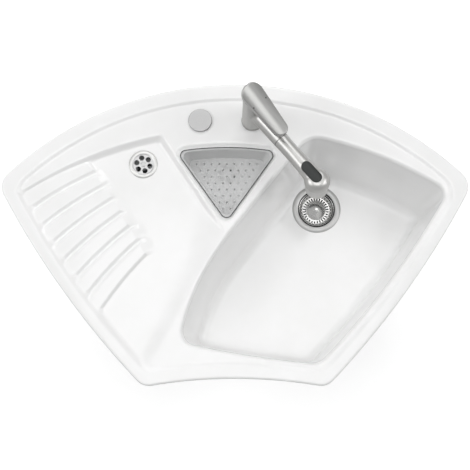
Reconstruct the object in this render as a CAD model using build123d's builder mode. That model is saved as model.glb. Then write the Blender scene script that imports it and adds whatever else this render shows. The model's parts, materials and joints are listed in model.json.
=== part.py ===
"""Corner kitchen sink: a fireclay moulding with a main bowl, a small bowl and a
fluted drainer, its three wastes, a clear colander and a single lever pull-out tap.

Millimetres, +Z up, +X right, +Y towards the room's corner. The origin is on the
worktop, in the middle of the rim's seat at the front edge.
"""
from build123d import *
import math
import os

os.makedirs("parts", exist_ok=True)

# ---- Outline of the ceramic, seen from above ----
corner_x = 538.0            # back corners, before they are rounded
corner_y = 422.0
front_x = 200.0             # front corners, before they are rounded
front_y = -34.0
back_apex_y = 657.0         # middle of the long back arc
front_apex_y = -16.0        # middle of the hollow front edge
side_radius = 2017.0
back_corner_radius = 42.0
front_corner_radius = 36.0
least_corner_radius = 12.0

# ---- Levels, measured from the worktop ----
rim_top = 12.0
deck_level = 7.0            # tap ledge inside the raised rim
deck_thickness = 10.0
ceramic_wall = 9.0
seat_width = 26.0           # part of the rim that lies on the worktop
rim_edge_radius = 5.0
overcut = 1.0               # how far a cut runs past the face that it opens
rim_band = 27.0             # flat of the raised rim
rim_flank = 11.0            # slope from the rim down to the ledge
rim_flank_fillet = 6.0
flank_fillet = 3.0

# ---- Main bowl ----
main_depth = 190.0          # below the ledge
bowl_front_left = (-124.0, 63.0)
bowl_front_right = (184.0, 15.0)
bowl_back_right = (484.0, 405.0)
bowl_back_left = (169.0, 537.0)
bowl_knee = (-12.0, 309.0)
bowl_back_radius = 858.0
bowl_right_radius = 1970.0
bowl_front_radius = 2600.0
bowl_knee_radius = 544.0
bowl_top_corners = (35.0, 45.0, 28.0, 52.0)      # order of the four corners above
bowl_floor_corners = (28.0, 34.0, 26.0, 34.0)
bowl_draft = 26.0           # how far the floor is drawn in, all round
floor_shift_x = 3.0         # and how far it is moved towards the front
floor_shift_y = -15.0
bowl_edge_fillet = 3.0
bowl_floor_fillet = 13.0

# ---- Small bowl with its colander ----
small_bowl_x = -19.0
colander_half_width = 117.0
colander_corner_y = 498.0
colander_back_y = 508.0
colander_apex_y = 332.0
colander_corner_radius = 14.0
colander_gap = 0.6          # to the ceramic, all round
colander_lift_gap = 0.3     # under its flange
cove_width = 11.0           # soft shoulder round the colander
cove_depth = 5.0
ledge_width = 2.6
ledge_fillet = 0.8
small_depth = 92.0          # below the ledge
small_draft = 4.0
small_floor_fillet = 6.0
small_floor_corner = 16.0
slot_length = 58.0          # overflow slot in the small bowl's back wall
slot_height = 9.0
slot_pocket = 3.0           # behind the face of the wall
slot_drop = 22.0            # below the ledge

colander_sheet = 2.2
colander_flange = 3.2
colander_depth = 48.0
colander_draft = 7.0
colander_hole_radius = 2.0
colander_hole_pitch = 17.6

# ---- Drainer tray ----
tray_back_radius = 850.0
tray_back_centre_y = -296.0
tray_corner_back = (-185.0, 532.0)
tray_corner_right = (-36.0, 297.0)
tray_corner_front = (-200.0, -13.0)   # where its edge would run on to, past the rim
tray_corner_radius = 24.0
tray_corner_easing = 0.7    # by which its corners tighten as they are drawn in
tray_wall_run = 1.0         # run of the tray's wall for each unit of drop
tray_slant_run = 1.1        # what its wall beside the small bowl runs further
tray_waste_level = -5.5     # level of the tray at its waste
tray_lowest = -9.5          # where its slanting walls would meet a flat floor
tray_fall = 1.2             # degrees, down towards the back
tray_floor_fillet = 5.0
tray_side_inset = 34.0      # the tray's edge along the rim, at the ledge's level
rib_count = 7
rib_height = 4.5
rib_slope = 55.0            # degrees from upright
rib_bow = 5.0               # rise of each curved rib line
rib_outer_pitch = 47.6
rib_inner_pitch = 37.1
rib_groove = 6.0            # open groove between two ribs, at the tray's level
rib_corner_radius = 7.0
rib_first_inner = (-312.0, 452.0)
rib_inner_angle = -54.7     # direction of the line of inner ends
rib_first_height_y = 363.0  # height up the side at which the first line ends

# ---- Wastes ----
main_waste_at = (201.0, 404.0)
main_flange_radius = 60.0
main_flange_seat = 1.5
main_hole_radius = 46.5
cup_radius = 44.0           # inside of the strainer cup at its top
cup_floor_radius = 41.0
cup_depth = 46.0
steel = 1.2                 # sheet of the strainer cup and the basket
small_waste_y = 468.0
tray_waste_at = (-210.0, 470.0)
small_flange_radius = 33.0
small_flange_seat = 1.2
small_hole_radius = 26.0
grid_radius = 24.0
grid_hole_radius = 5.8
grid_hole_circle = 15.6
grid_holes = 6
grid_screw_radius = 5.6
small_tail_radius = 19.0
main_tail_radius = 23.9
tail_length = 34.0
flange_room = 1.0           # round a waste's flange, in the seat sunk for it
seat_cut = 6.0              # height cut clear above a seat
flange_crown_in = 7.0       # of the main flange's crown, from its edge
flange_rise = 3.0
flange_lip = 0.6            # of its inner edge, above its underside
cup_step = 1.6              # of the seat that the basket rests on
cup_neck = 2.0              # height of the shoulder above the tail
tail_wall = 3.0
screw_radius = 3.0
screw_bore = 3.2
small_flange_rise = 2.2
grid_sink = 1.6             # of the grid, below the flange's crown
collar_depth = 10.0
screw_head = 2.0
screw_play = 0.05           # under the screw's head
screw_reach = 17.0          # of the screw, below the ceramic
body_flange = 4.0           # of a small waste's body, and the run of its cone
body_neck = 16.0            # depth at which the body draws in to its tail
body_shoulder = 22.0        # depth at which the tail starts
body_wall = 2.4
boss_radius = 6.5
boss_height = 7.0
boss_drop = 8.0
arm_width = 3.0
main_nut_height = 13.0
nut_lugs = 8
nut_lug_radius = 5.0
basket_seat_drop = 7.0
seal_thickness = 3.0
fit_gap = 0.4               # between pieces that are lifted out or turned

# ---- Basket strainer ----
basket_rim_radius = 43.2
basket_sink = 1.0           # of its rim, below the bowl's floor
basket_rim_width = 3.0
basket_rim_drop = 4.5       # from its rim down to its sloping wall
basket_rim_wall = 2.2
basket_flute_share = 0.62   # of the basket's depth
basket_depth = 16.0
basket_well_radius = 36.0
basket_cone_radius = 24.0
basket_cone_rise = 12.0
basket_slots = 28
basket_slot_length = 8.0
basket_slot_width = 2.6
basket_flute_radius = 2.3
knob_radius = 6.2
knob_height = 6.5
plug_radius = 19.0
plug_depth = 8.0
knob_foot = 4.0             # of the knob, inside the basket's cone
knob_play = 0.2

# ---- Tap ----
tap_x = 40.0
cap_x = -80.0
holes_y = 570.0
tap_hole_radius = 17.5
spout_heading = -51.0       # degrees from +X
spout_rise = 5.7
spout_height = 91.0         # of the spout's axis where it crosses the body's axis
base_radius = 25.5
base_height = 5.0
body_radius = 24.3
body_top_radius = 23.2
body_bore_radius = 17.0
lever_tilt = 11.3
lever_gap_height = 169.0    # joint between body and lever, on the body's axis
lever_gap = 1.4
spout_radius = 18.0
spout_root_radius = 19.5
seam_reach = 96.5           # from the body's axis to the spray's joint
seam_gap = 1.2              # open joint between spout and spray
seam_inner_gap = 0.4        # and between the spray and the collar inside it
junction_fillet = 6.0       # where the spout leaves the body
docking_depth = 30.0
docking_radius = 13.5
docking_gap = 0.3
cartridge_radius = 17.5
cartridge_length = 30.0
lever_back_radius = 23.6
lever_front_radius = 16.0
lever_reach = 87.0          # from the body's axis to the lever's front circle
lever_overhang = 6.0        # from the body's axis back to its back circle
lever_thickness = 21.0
lever_arm_thickness = 10.0
lever_crown_radius = 46.0
lever_edge_fillet = 3.0
spindle_side = 8.0
spindle_length = 15.0

# ---- Spray ----
head_reach = 218.0          # from the body's axis to the middle of the head
barrel_radius = 17.6
head_radius = 28.0
mouth_radius = 24.5
head_fillet = 14.0          # between the barrel and the head
head_crown = 16.5           # above the barrel's axis
head_drop = 52.0            # below the barrel's axis
nozzle_radius = 20.5
button_reach = 199.0
button_length = 55.0
button_width = 24.0
button_travel = 1.5
button_stand = 1.2

# ---- Fixings below the deck ----
shank_radius = 14.5
shank_length = 62.0
plate_thickness = 4.0
nut_height = 9.0
nut_across = 46.0
stud_radius = 4.0
stud_length = 34.0
cap_radius = 27.0
cap_height = 4.2
inlet_radius = 5.0
inlet_length = 26.0
inlet_spread = 6.8
guide_offset = 5.5
guide_bore = 5.8
guide_height = 7.0
hose_bore = 12.0
hose_radius = 8.0           # way for the spray's hose through the tap
clamp_radius = 27.0
washer_thickness = 1.2
cap_edge_radius = 1.6

# ---- Inside the tap ----
post_height = 40.0
swivel_ring = 1.0
pivot_depth = 22.0          # of the lever's pivot, below the joint
cartridge_sink = 30.0       # of the cartridge's top, below the joint
nut_radius = 20.2
swing_radius = 16.5         # room for the spindle to swing
carrier_radius = 10.0
carrier_height = 3.0
pin_radius = 1.6            # of the pin that the spindle tips on
pin_gap = 0.05
fork_height = 3.5           # of the fork's ears, above the pin's axis
collar_radius = 15.5
button_floor = 7.0          # of the button's pocket, above the barrel's axis
nozzle_rings = 3
nozzle_pitch = 5.6
nozzle_hole_radius = 0.9


# =====================================================================
# Helpers
# =====================================================================
def finish(builder, label):
    """Label a finished piece and write it out."""
    builder.part.label = label
    export_step(builder.part, f"parts/{label}.step")


def rounded_corners(sketch, corners, radii):
    """Round the corner of a sketch that lies nearest to each given point."""
    for corner, radius in zip(corners, radii):
        near = Vector(*corner, sketch.workplanes[0].origin.Z)
        fillet(sketch.vertices().sort_by_distance(near)[0], radius)


def outline(inset, level, rounded=True):
    """The sink's outline, drawn in by inset, at a level."""
    with BuildSketch(Plane.XY.offset(level)) as shape:
        with BuildLine():
            ThreePointArc((-corner_x, corner_y), (0, back_apex_y), (corner_x, corner_y))
            RadiusArc((corner_x, corner_y), (front_x, front_y), side_radius)
            ThreePointArc((front_x, front_y), (0, front_apex_y), (-front_x, front_y))
            RadiusArc((-front_x, front_y), (-corner_x, corner_y), side_radius)
        make_face()
        if inset:
            offset(amount=-inset, kind=Kind.INTERSECTION, mode=Mode.REPLACE)
        if rounded:
            rows = shape.vertices().group_by(Axis.Y)
            fillet(rows[0], max(front_corner_radius - inset, least_corner_radius))
            rows = shape.vertices().group_by(Axis.Y)
            fillet(rows[-1], max(back_corner_radius - inset, least_corner_radius))
    return shape.sketch


def main_bowl(level, grow=0.0):
    """The main bowl's inside at a level; grow makes it the outside."""
    share = (deck_level - level) / main_depth
    inset = bowl_draft * share - grow
    shift = Vector(floor_shift_x * share, floor_shift_y * share, 0)
    corners = (bowl_front_left, bowl_front_right, bowl_back_right, bowl_back_left)
    with BuildSketch(Plane.XY.offset(level)) as shape:
        with BuildLine():
            RadiusArc(bowl_front_left, bowl_front_right, -bowl_front_radius)
            RadiusArc(bowl_front_right, bowl_back_right, -bowl_right_radius)
            RadiusArc(bowl_back_right, bowl_back_left, -bowl_back_radius)
            Line(bowl_back_left, bowl_knee)
            RadiusArc(bowl_knee, bowl_front_left, -bowl_knee_radius)
        make_face()
        offset(amount=-inset, kind=Kind.INTERSECTION, mode=Mode.REPLACE)
        radii = [top + (low - top) * max(share, 0) + grow
                 for top, low in zip(bowl_top_corners, bowl_floor_corners)]
        rounded_corners(shape, corners, radii)
    return shape.sketch.moved(Location(shift))


def small_bowl(grow, level, corner_radius):
    """The colander's triangle, grown all round, at a level."""
    corners = ((small_bowl_x - colander_half_width, colander_corner_y),
               (small_bowl_x + colander_half_width, colander_corner_y),
               (small_bowl_x, colander_apex_y))
    with BuildSketch(Plane.XY.offset(level)) as shape:
        with BuildLine():
            ThreePointArc(corners[0], (small_bowl_x, colander_back_y), corners[1])
            Polyline(corners[1], corners[2], corners[0])
        make_face()
        if grow:
            offset(amount=grow, kind=Kind.INTERSECTION, mode=Mode.REPLACE)
        rounded_corners(shape, corners, [corner_radius] * 3)
    return shape.sketch


def tray(inset, level):
    """The drainer tray: bounded by the rim, an arc at the back and two slanting edges.

    Its edge beside the small bowl moves out further with each level than the rest."""
    slant = Vector(*tray_corner_right) - Vector(*tray_corner_back)
    outward = Vector(-slant.Y, slant.X).normalized()
    moved = outward * tray_slant_run * (level - tray_lowest)
    past_back = Vector(*tray_corner_back) - slant + moved
    past_front = Vector(*tray_corner_right) + moved
    below = (-corner_x, tray_corner_front[1] - rim_band)
    beyond = (-corner_x, past_back.Y)
    with BuildSketch(Plane.XY.offset(level)) as shape:
        with BuildLine():
            Polyline(beyond, past_back, past_front, tray_corner_front, below, beyond)
        make_face()
        with Locations((0, tray_back_centre_y)):
            Circle(tray_back_radius, mode=Mode.INTERSECT)
        add(outline(tray_side_inset, level, rounded=False), mode=Mode.INTERSECT)
        offset(amount=-inset, kind=Kind.INTERSECTION, mode=Mode.REPLACE)
        fillet(shape.vertices(), tray_corner_radius - inset * tray_corner_easing)
    return shape.sketch


# Plane of the tray's floor: it falls towards the back
fall = math.radians(tray_fall)
tray_plane = Plane(origin=(0, 0, tray_waste_level + tray_waste_at[1] * math.tan(fall)),
                   x_dir=(1, 0, 0), z_dir=(0, math.sin(fall), math.cos(fall)))

# =====================================================================
# Ceramic moulding
# =====================================================================
main_floor = deck_level - main_depth
small_floor = deck_level - small_depth
cove_floor = deck_level - cove_depth
deck_underside = deck_level - deck_thickness

with BuildPart() as tray_space:
    top = rim_top + overcut
    loft([tray(tray_wall_run * (deck_level - tray_lowest), tray_lowest),
          tray(-tray_wall_run * (top - deck_level), top)])
    split(bisect_by=tray_plane, keep=Keep.TOP)
    fillet(tray_space.faces().sort_by(Axis.Z)[0].edges(), tray_floor_fillet)

# Centre of the right side's arc, from its two ends
half_chord = Vector(corner_x - front_x, corner_y - front_y) * 0.5
to_centre = math.sqrt(side_radius ** 2 - half_chord.length ** 2)
inward = Vector(-half_chord.Y, half_chord.X).normalized()
side_centre = Vector(front_x, front_y) + half_chord + inward * to_centre


def rib_line(number):
    """Ends of one rib line: on the side's arc, and on the line of inner ends."""
    reach = side_radius - rim_band - rim_flank
    first = math.asin((rib_first_height_y - side_centre.Y) / reach)
    turn = first - (number - 1) * rib_outer_pitch / reach
    outer = (-side_centre.X - reach * math.cos(turn), side_centre.Y + reach * math.sin(turn))
    slide = (number - 1) * rib_inner_pitch
    inner = (rib_first_inner[0] + slide * math.cos(math.radians(rib_inner_angle)),
             rib_first_inner[1] + slide * math.sin(math.radians(rib_inner_angle)))
    return outer, inner


def bowed(start, end, bow):
    """An arc between two points that bows to the left of its direction."""
    along = Vector(end[0] - start[0], end[1] - start[1])
    middle = (Vector(*start) + Vector(*end)) * 0.5
    left = Vector(-along.Y, along.X).normalized()
    return ThreePointArc(start, middle + left * bow, end)


def slid(point, towards, share):
    """A point moved a share of the way towards another."""
    return tuple(a + (b - a) * share for a, b in zip(point, towards))


with BuildPart() as ribs:
    for number in range(1, rib_count + 1):
        front = rib_line(number)
        back = rib_line(number - 1)
        back_outer = slid(back[0], front[0], rib_groove / rib_outer_pitch)
        back_inner = slid(back[1], front[1], rib_groove / rib_inner_pitch)
        with BuildSketch(tray_plane) as base:
            with BuildLine():
                bowed(front[0], front[1], rib_bow)
                Line(front[1], back_inner)
                bowed(back_inner, back_outer, -rib_bow)
                Line(back_outer, front[0])
            make_face()
            inner_ends = base.vertices().sort_by(Axis.X)[-2:]
            fillet(inner_ends, rib_corner_radius)
        extrude(amount=rib_height, taper=rib_slope)

with BuildPart() as tray_hollow:
    add(tray_space.part)
    add(ribs.part, mode=Mode.SUBTRACT)

tray_at_waste = tray_plane.origin.Z - tray_waste_at[1] * math.tan(fall)
waste_seats = (
    (main_waste_at, main_floor, main_flange_seat, main_flange_radius, main_hole_radius),
    ((small_bowl_x, small_waste_y), small_floor, small_flange_seat, small_flange_radius,
     small_hole_radius),
    (tray_waste_at, tray_at_waste, small_flange_seat, small_flange_radius, small_hole_radius),
)

with BuildPart() as sink_body:
    # Rim plate, the plate below the ledge and the shells of the tray and both bowls
    extrude(outline(0, 0), amount=rim_top)
    fillet(sink_body.faces().sort_by(Axis.Z)[-1].edges(), rim_edge_radius)
    extrude(outline(seat_width, 0), amount=deck_underside)
    extrude(tray(-ceramic_wall, 0), amount=tray_lowest - ceramic_wall)
    loft([small_bowl(ceramic_wall - ledge_width, deck_underside + overcut,
                     colander_corner_radius + ceramic_wall),
          small_bowl(ceramic_wall - ledge_width - small_draft, small_floor - ceramic_wall,
                     small_floor_corner + ceramic_wall)])
    loft([main_bowl(deck_underside + overcut, ceramic_wall),
          main_bowl(main_floor - ceramic_wall, ceramic_wall)])

    # Ledge inside the raised rim
    rise = rim_top - deck_level
    loft([outline(rim_band + rim_flank, deck_level),
          outline(rim_band - rim_flank * overcut / rise, rim_top + overcut)], mode=Mode.SUBTRACT)
    fillet(sink_body.edges(Select.LAST).filter_by_position(Axis.Z, rim_top, rim_top),
           rim_flank_fillet)
    deck = sink_body.faces().filter_by_position(Axis.Z, deck_level, deck_level)
    fillet(deck.edges(), rim_flank_fillet)

    # Drainer tray with its ribs
    add(tray_hollow.part, mode=Mode.SUBTRACT)
    fillet(sink_body.edges(Select.LAST).filter_by_position(Axis.Z, deck_level, deck_level),
           flank_fillet)

    # Small bowl: a soft shoulder, a ledge for the colander, then the bowl
    cove_run = cove_width + cove_width / cove_depth * overcut
    loft([small_bowl(colander_gap, cove_floor, colander_corner_radius + colander_gap),
          small_bowl(cove_run, deck_level + overcut,
                     colander_corner_radius + cove_width)], mode=Mode.SUBTRACT)
    fillet(sink_body.edges(Select.LAST).filter_by_position(Axis.Z, deck_level, deck_level),
           flank_fillet)
    loft([small_bowl(-ledge_width, cove_floor + overcut, colander_corner_radius),
          small_bowl(-ledge_width - small_draft, small_floor, small_floor_corner)],
         mode=Mode.SUBTRACT)
    fillet(sink_body.edges(Select.LAST).filter_by_position(Axis.Z, cove_floor, cove_floor),
           ledge_fillet)
    fillet(sink_body.edges().filter_by_position(Axis.Z, small_floor, small_floor),
           small_floor_fillet)

    # Main bowl
    loft([main_bowl(rim_top + overcut), main_bowl(main_floor)], mode=Mode.SUBTRACT)
    fillet(sink_body.edges(Select.LAST).filter_by_position(Axis.Z, deck_level, deck_level),
           bowl_edge_fillet)
    fillet(sink_body.edges().filter_by_position(Axis.Z, main_floor, main_floor),
           bowl_floor_fillet)

    # Seats and holes for the wastes, the tap and the spare tap hole
    for centre, level, seat, flange, hole in waste_seats:
        with BuildSketch(Plane(origin=(*centre, level - seat))):
            Circle(flange + flange_room)
        extrude(amount=seat_cut, mode=Mode.SUBTRACT)
        with BuildSketch(Plane(origin=(*centre, level))):
            Circle(hole)
        extrude(amount=-3 * ceramic_wall, mode=Mode.SUBTRACT)
    with BuildSketch(Plane.XY.offset(rim_top)):
        with Locations((tap_x, holes_y), (cap_x, holes_y)):
            Circle(tap_hole_radius)
    extrude(amount=-3 * deck_thickness, mode=Mode.SUBTRACT)

    # Overflow slot in the small bowl's back wall
    slot_plane = Plane(origin=(small_bowl_x, colander_back_y - ledge_width - small_draft,
                               deck_level - slot_drop), x_dir=(1, 0, 0), z_dir=(0, 1, 0))
    with BuildSketch(slot_plane):
        SlotOverall(slot_length, slot_height)
    extrude(amount=small_draft + slot_pocket, mode=Mode.SUBTRACT)
finish(sink_body, "sink_body")

# =====================================================================
# Spare tap hole: its cap, and what holds it
# =====================================================================
cap_plane = Plane(origin=(cap_x, holes_y, deck_level))
cap_seal_radius = cap_radius - 2.0
with BuildPart() as cap_seal:
    with BuildSketch(cap_plane):
        Circle(cap_seal_radius)
        Circle(stud_radius + fit_gap, mode=Mode.SUBTRACT)
    extrude(amount=washer_thickness)
finish(cap_seal, "cap_seal")

with BuildPart() as tap_hole_cap:
    with BuildSketch(cap_plane.offset(washer_thickness)):
        Circle(cap_radius)
    extrude(amount=cap_height)
    fillet(tap_hole_cap.faces().sort_by(Axis.Z)[-1].edges(), cap_edge_radius)
    with BuildSketch(cap_plane.offset(washer_thickness)):
        Circle(stud_radius)
    extrude(amount=-stud_length)
finish(tap_hole_cap, "tap_hole_cap")

with BuildPart() as cap_nut:
    with BuildSketch(Plane(origin=(cap_x, holes_y, deck_underside))):
        Circle(cap_seal_radius)
        Circle(stud_radius + fit_gap, mode=Mode.SUBTRACT)
    extrude(amount=-plate_thickness / 2)
    with BuildSketch(Plane(origin=(cap_x, holes_y, deck_underside - plate_thickness / 2))):
        RegularPolygon(stud_radius * 2.2, 6)
        Circle(stud_radius + fit_gap, mode=Mode.SUBTRACT)
    extrude(amount=-stud_radius * 1.6)
finish(cap_nut, "cap_nut")

# =====================================================================
# Main waste: strainer cup, seals, back nut and the basket
# =====================================================================
cup_plane = Plane(origin=(*main_waste_at, main_floor), x_dir=(1, 0, 0), z_dir=(0, -1, 0))
cup_axis = Axis((*main_waste_at, main_floor), (0, 0, 1))
flange_under = -main_flange_seat + washer_thickness
cup_outer = main_hole_radius - 1.0
underside = -ceramic_wall

with BuildPart() as strainer_cup:
    with BuildSketch(cup_plane):
        with BuildLine():
            rim_out = (main_flange_radius, flange_under)
            crown = (main_flange_radius - flange_crown_in, flange_under + flange_rise)
            rim_in = (cup_radius, flange_under + flange_lip)
            tail_in = main_tail_radius - tail_wall
            ThreePointArc(rim_out, crown, rim_in)
            Polyline(rim_in, (cup_radius, -basket_seat_drop),
                     (cup_radius - cup_step, -basket_seat_drop),
                     (cup_floor_radius, -cup_depth), (tail_in, -cup_depth - cup_neck),
                     (tail_in, -cup_depth - tail_length),
                     (main_tail_radius, -cup_depth - tail_length),
                     (main_tail_radius, -cup_depth - 2 * cup_neck),
                     (cup_outer, -cup_depth), (cup_outer, flange_under), rim_out)
        make_face()
    revolve(axis=cup_axis)
finish(strainer_cup, "strainer_cup")

with BuildPart() as main_waste_gasket:
    with BuildSketch(Plane(origin=(*main_waste_at, main_floor - main_flange_seat))):
        Circle(main_flange_radius - 1.0)
        Circle(main_hole_radius + 0.5, mode=Mode.SUBTRACT)
    extrude(amount=washer_thickness)
finish(main_waste_gasket, "main_waste_gasket")

with BuildPart() as main_waste_seal:
    with BuildSketch(Plane(origin=(*main_waste_at, main_floor + underside))):
        Circle(main_flange_radius - 2.0)
        Circle(cup_outer + fit_gap, mode=Mode.SUBTRACT)
    extrude(amount=-seal_thickness)
finish(main_waste_seal, "main_waste_seal")

with BuildPart() as main_waste_nut:
    nut_top = main_floor + underside - seal_thickness
    with BuildSketch(Plane(origin=(*main_waste_at, nut_top))):
        Circle(main_flange_radius)
        with PolarLocations(main_flange_radius, nut_lugs):
            Circle(nut_lug_radius)
        Circle(cup_outer + fit_gap, mode=Mode.SUBTRACT)
    extrude(amount=-main_nut_height)
finish(main_waste_nut, "main_waste_nut")

basket_top = -basket_sink
basket_floor = basket_top - basket_depth
cone_top = basket_floor + basket_cone_rise
with BuildPart() as basket_strainer:
    with BuildSketch(cup_plane):
        with BuildLine():
            rest = fit_gap - basket_seat_drop
            Polyline((knob_radius, cone_top), (basket_cone_radius, basket_floor),
                     (basket_well_radius, basket_floor),
                     (basket_rim_radius - basket_rim_width - steel, basket_top - basket_rim_drop),
                     (basket_rim_radius - basket_rim_width, basket_top),
                     (basket_rim_radius, basket_top), (basket_rim_radius, rest),
                     (basket_rim_radius - basket_rim_wall, rest),
                     (basket_well_radius + steel, basket_floor - steel),
                     (basket_cone_radius - steel / 2, basket_floor - steel),
                     (knob_radius, cone_top - steel * 1.4), (knob_radius, cone_top))
        make_face()
    revolve(axis=cup_axis)
    # Radial slots in the well and half-round flutes up its wall
    slot_circle = (basket_cone_radius + basket_well_radius) / 2
    with BuildSketch(Plane(origin=(*main_waste_at, main_floor + basket_floor + steel))):
        with PolarLocations(slot_circle - 1.0, basket_slots):
            SlotOverall(basket_slot_length, basket_slot_width)
    extrude(amount=-4 * steel, mode=Mode.SUBTRACT)
    with BuildSketch(Plane(origin=(*main_waste_at, main_floor + basket_floor))):
        half_step = 180 / basket_slots
        with PolarLocations(basket_well_radius + 0.4, basket_slots, start_angle=half_step):
            Circle(basket_flute_radius)
    extrude(amount=basket_depth * basket_flute_share, taper=6)
finish(basket_strainer, "basket_strainer")

with BuildPart() as basket_knob:
    with BuildSketch(cup_plane):
        with BuildLine():
            Polyline((0, cone_top + knob_height), (knob_radius * 0.55, cone_top + knob_height),
                     (knob_radius, cone_top + knob_height * 0.72),
                     (knob_radius * 0.62, cone_top + knob_height * 0.3),
                     (knob_radius - knob_play, cone_top + fit_gap),
                     (knob_radius - knob_play, cone_top - knob_foot),
                     (screw_radius, cone_top - knob_foot), (screw_radius, basket_floor - plug_depth),
                     (0, basket_floor - plug_depth), (0, cone_top + knob_height))
        make_face()
    revolve(axis=cup_axis)
finish(basket_knob, "basket_knob")

with BuildPart() as basket_plug:
    plug_top = basket_floor - steel - knob_play
    with BuildSketch(cup_plane):
        with BuildLine():
            Polyline((screw_radius, plug_top), (plug_radius / 2, plug_top),
                     (plug_radius, plug_top - plug_depth * 0.6),
                     (plug_radius * 0.9, plug_top - plug_depth),
                     (screw_radius, plug_top - plug_depth * 0.8), (screw_radius, plug_top))
        make_face()
    revolve(axis=cup_axis)
finish(basket_plug, "basket_plug")


# =====================================================================
# The two small wastes, alike
# =====================================================================
def small_waste(name, centre, level, grip):
    """Grid flange, screw, seal and threaded body of a small waste."""
    seat = level - small_flange_seat
    side = Plane(origin=(*centre, seat), x_dir=(1, 0, 0), z_dir=(0, -1, 0))
    axis = Axis((*centre, seat), (0, 0, 1))
    crown = small_flange_rise
    collar = small_hole_radius - 0.8

    with BuildPart() as flange:
        with BuildSketch(side):
            with BuildLine():
                ThreePointArc((small_flange_radius, 0), (small_flange_radius - 4.0, crown),
                              (grid_radius, crown - 0.8))
                Polyline((grid_radius, crown - 0.8), (grid_radius - 0.8, crown - grid_sink),
                         (0, crown - grid_sink), (0, crown - grid_sink - steel * 1.5),
                         (collar - steel, crown - grid_sink - steel * 1.5),
                         (collar - steel, -collar_depth), (collar, -collar_depth),
                         (collar, 0), (small_flange_radius, 0))
            make_face()
        revolve(axis=axis)
        with BuildSketch(Plane(origin=(*centre, seat + crown))):
            with PolarLocations(grid_hole_circle, grid_holes, start_angle=45):
                Circle(grid_hole_radius)
            Circle(screw_bore)
        extrude(amount=-2 * grid_sink - 2 * steel, mode=Mode.SUBTRACT)
    finish(flange, f"{name}_flange")

    body_top = -grip
    with BuildPart() as screw:
        with BuildSketch(side):
            with BuildLine():
                head = crown - grid_sink
                top = head + screw_head
                end = body_top - screw_reach
                Polyline((0, top), (grid_screw_radius * 0.7, top),
                         (grid_screw_radius, head + screw_head / 2),
                         (grid_screw_radius, head + screw_play),
                         (screw_radius, head + screw_play), (screw_radius, end), (0, end), (0, top))
            make_face()
        revolve(axis=axis)
        with BuildSketch(Plane(origin=(*centre, seat + top))):
            Rectangle(grid_screw_radius * 1.5, steel)
        extrude(amount=-screw_head / 2, mode=Mode.SUBTRACT)
    finish(screw, f"{name}_screw")

    with BuildPart() as seal:
        with BuildSketch(Plane(origin=(*centre, seat + body_top))):
            Circle(small_flange_radius)
            Circle(small_hole_radius + 0.5, mode=Mode.SUBTRACT)
        extrude(amount=-seal_thickness)
    finish(seal, f"{name}_seal")

    top = body_top - seal_thickness
    with BuildPart() as body:
        with BuildSketch(side):
            with BuildLine():
                hole = small_hole_radius
                tail_end = top - body_shoulder - tail_length
                Polyline((hole - 0.5, top), (small_flange_radius, top),
                         (small_flange_radius, top - body_flange),
                         (hole + 2.0, top - body_flange - 1.0), (hole, top - body_neck),
                         (small_tail_radius, top - body_shoulder), (small_tail_radius, tail_end),
                         (small_tail_radius - body_wall, tail_end),
                         (small_tail_radius - body_wall, top - body_shoulder + 1.0),
                         (hole - body_wall, top - body_neck + 1.0), (hole - 0.5, top))
            make_face()
        revolve(axis=axis)
        # Boss for the screw, on three arms
        with BuildSketch(Plane(origin=(*centre, seat + top - boss_drop))):
            with PolarLocations(small_hole_radius / 2, 3):
                Rectangle(small_hole_radius, arm_width)
            Circle(boss_radius)
            Circle(screw_bore, mode=Mode.SUBTRACT)
        extrude(amount=-boss_height)
    finish(body, f"{name}_body")


small_waste("tray_waste", tray_waste_at, tray_at_waste,
            tray_at_waste - small_flange_seat - (tray_lowest - ceramic_wall))
small_waste("small_bowl_waste", (small_bowl_x, small_waste_y), small_floor,
            ceramic_wall - small_flange_seat)

# =====================================================================
# Colander of clear plastic in the small bowl
# =====================================================================
flange_low = cove_floor + colander_lift_gap
inner = -colander_flange - colander_sheet
outer = -colander_flange
inner_corner = colander_corner_radius - colander_sheet
with BuildPart() as colander:
    extrude(small_bowl(0, flange_low, colander_corner_radius), amount=colander_sheet)
    loft([small_bowl(outer, flange_low + colander_sheet / 2, colander_corner_radius),
          small_bowl(outer - colander_draft, flange_low - colander_depth,
                     colander_corner_radius)])
    loft([small_bowl(inner, flange_low + colander_sheet + overcut, inner_corner),
          small_bowl(inner - colander_draft, flange_low - colander_depth + colander_sheet,
                     inner_corner)], mode=Mode.SUBTRACT)
    # Staggered holes in the floor, wherever a whole hole fits
    reach = small_bowl(inner - colander_draft - colander_hole_radius * 2, 0, 8.0)
    middle = (colander_back_y + colander_apex_y) / 2
    places = []
    for row in range(-5, 6):
        for column in range(-8, 9):
            x = small_bowl_x + (column + (row % 2) / 2) * colander_hole_pitch
            y = middle + row * colander_hole_pitch * math.sqrt(3) / 2
            if reach.faces()[0].is_inside(Vector(x, y, 0)):
                places.append((x, y))
    with BuildSketch(Plane.XY.offset(flange_low - colander_depth - 1.0)):
        with Locations(*places):
            Circle(colander_hole_radius)
    extrude(amount=colander_sheet + 2.0, mode=Mode.SUBTRACT)
finish(colander, "colander")

# =====================================================================
# Tap: base, turning body, cartridge and lever
# =====================================================================
heading = math.radians(spout_heading)
climb = math.radians(spout_rise)
tilt = math.radians(lever_tilt)
forward = Vector(math.cos(heading), math.sin(heading), 0)
sideways = Vector(-math.sin(heading), math.cos(heading), 0)
up = Vector(0, 0, 1)
foot = Plane(origin=(tap_x, holes_y, deck_level))
foot_side = Plane(origin=(tap_x, holes_y, deck_level), x_dir=(1, 0, 0), z_dir=(0, -1, 0))
foot_axis = Axis((tap_x, holes_y, deck_level), (0, 0, 1))
base_low = washer_thickness
body_low = base_low + base_height + swivel_ring + 0.3

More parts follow.
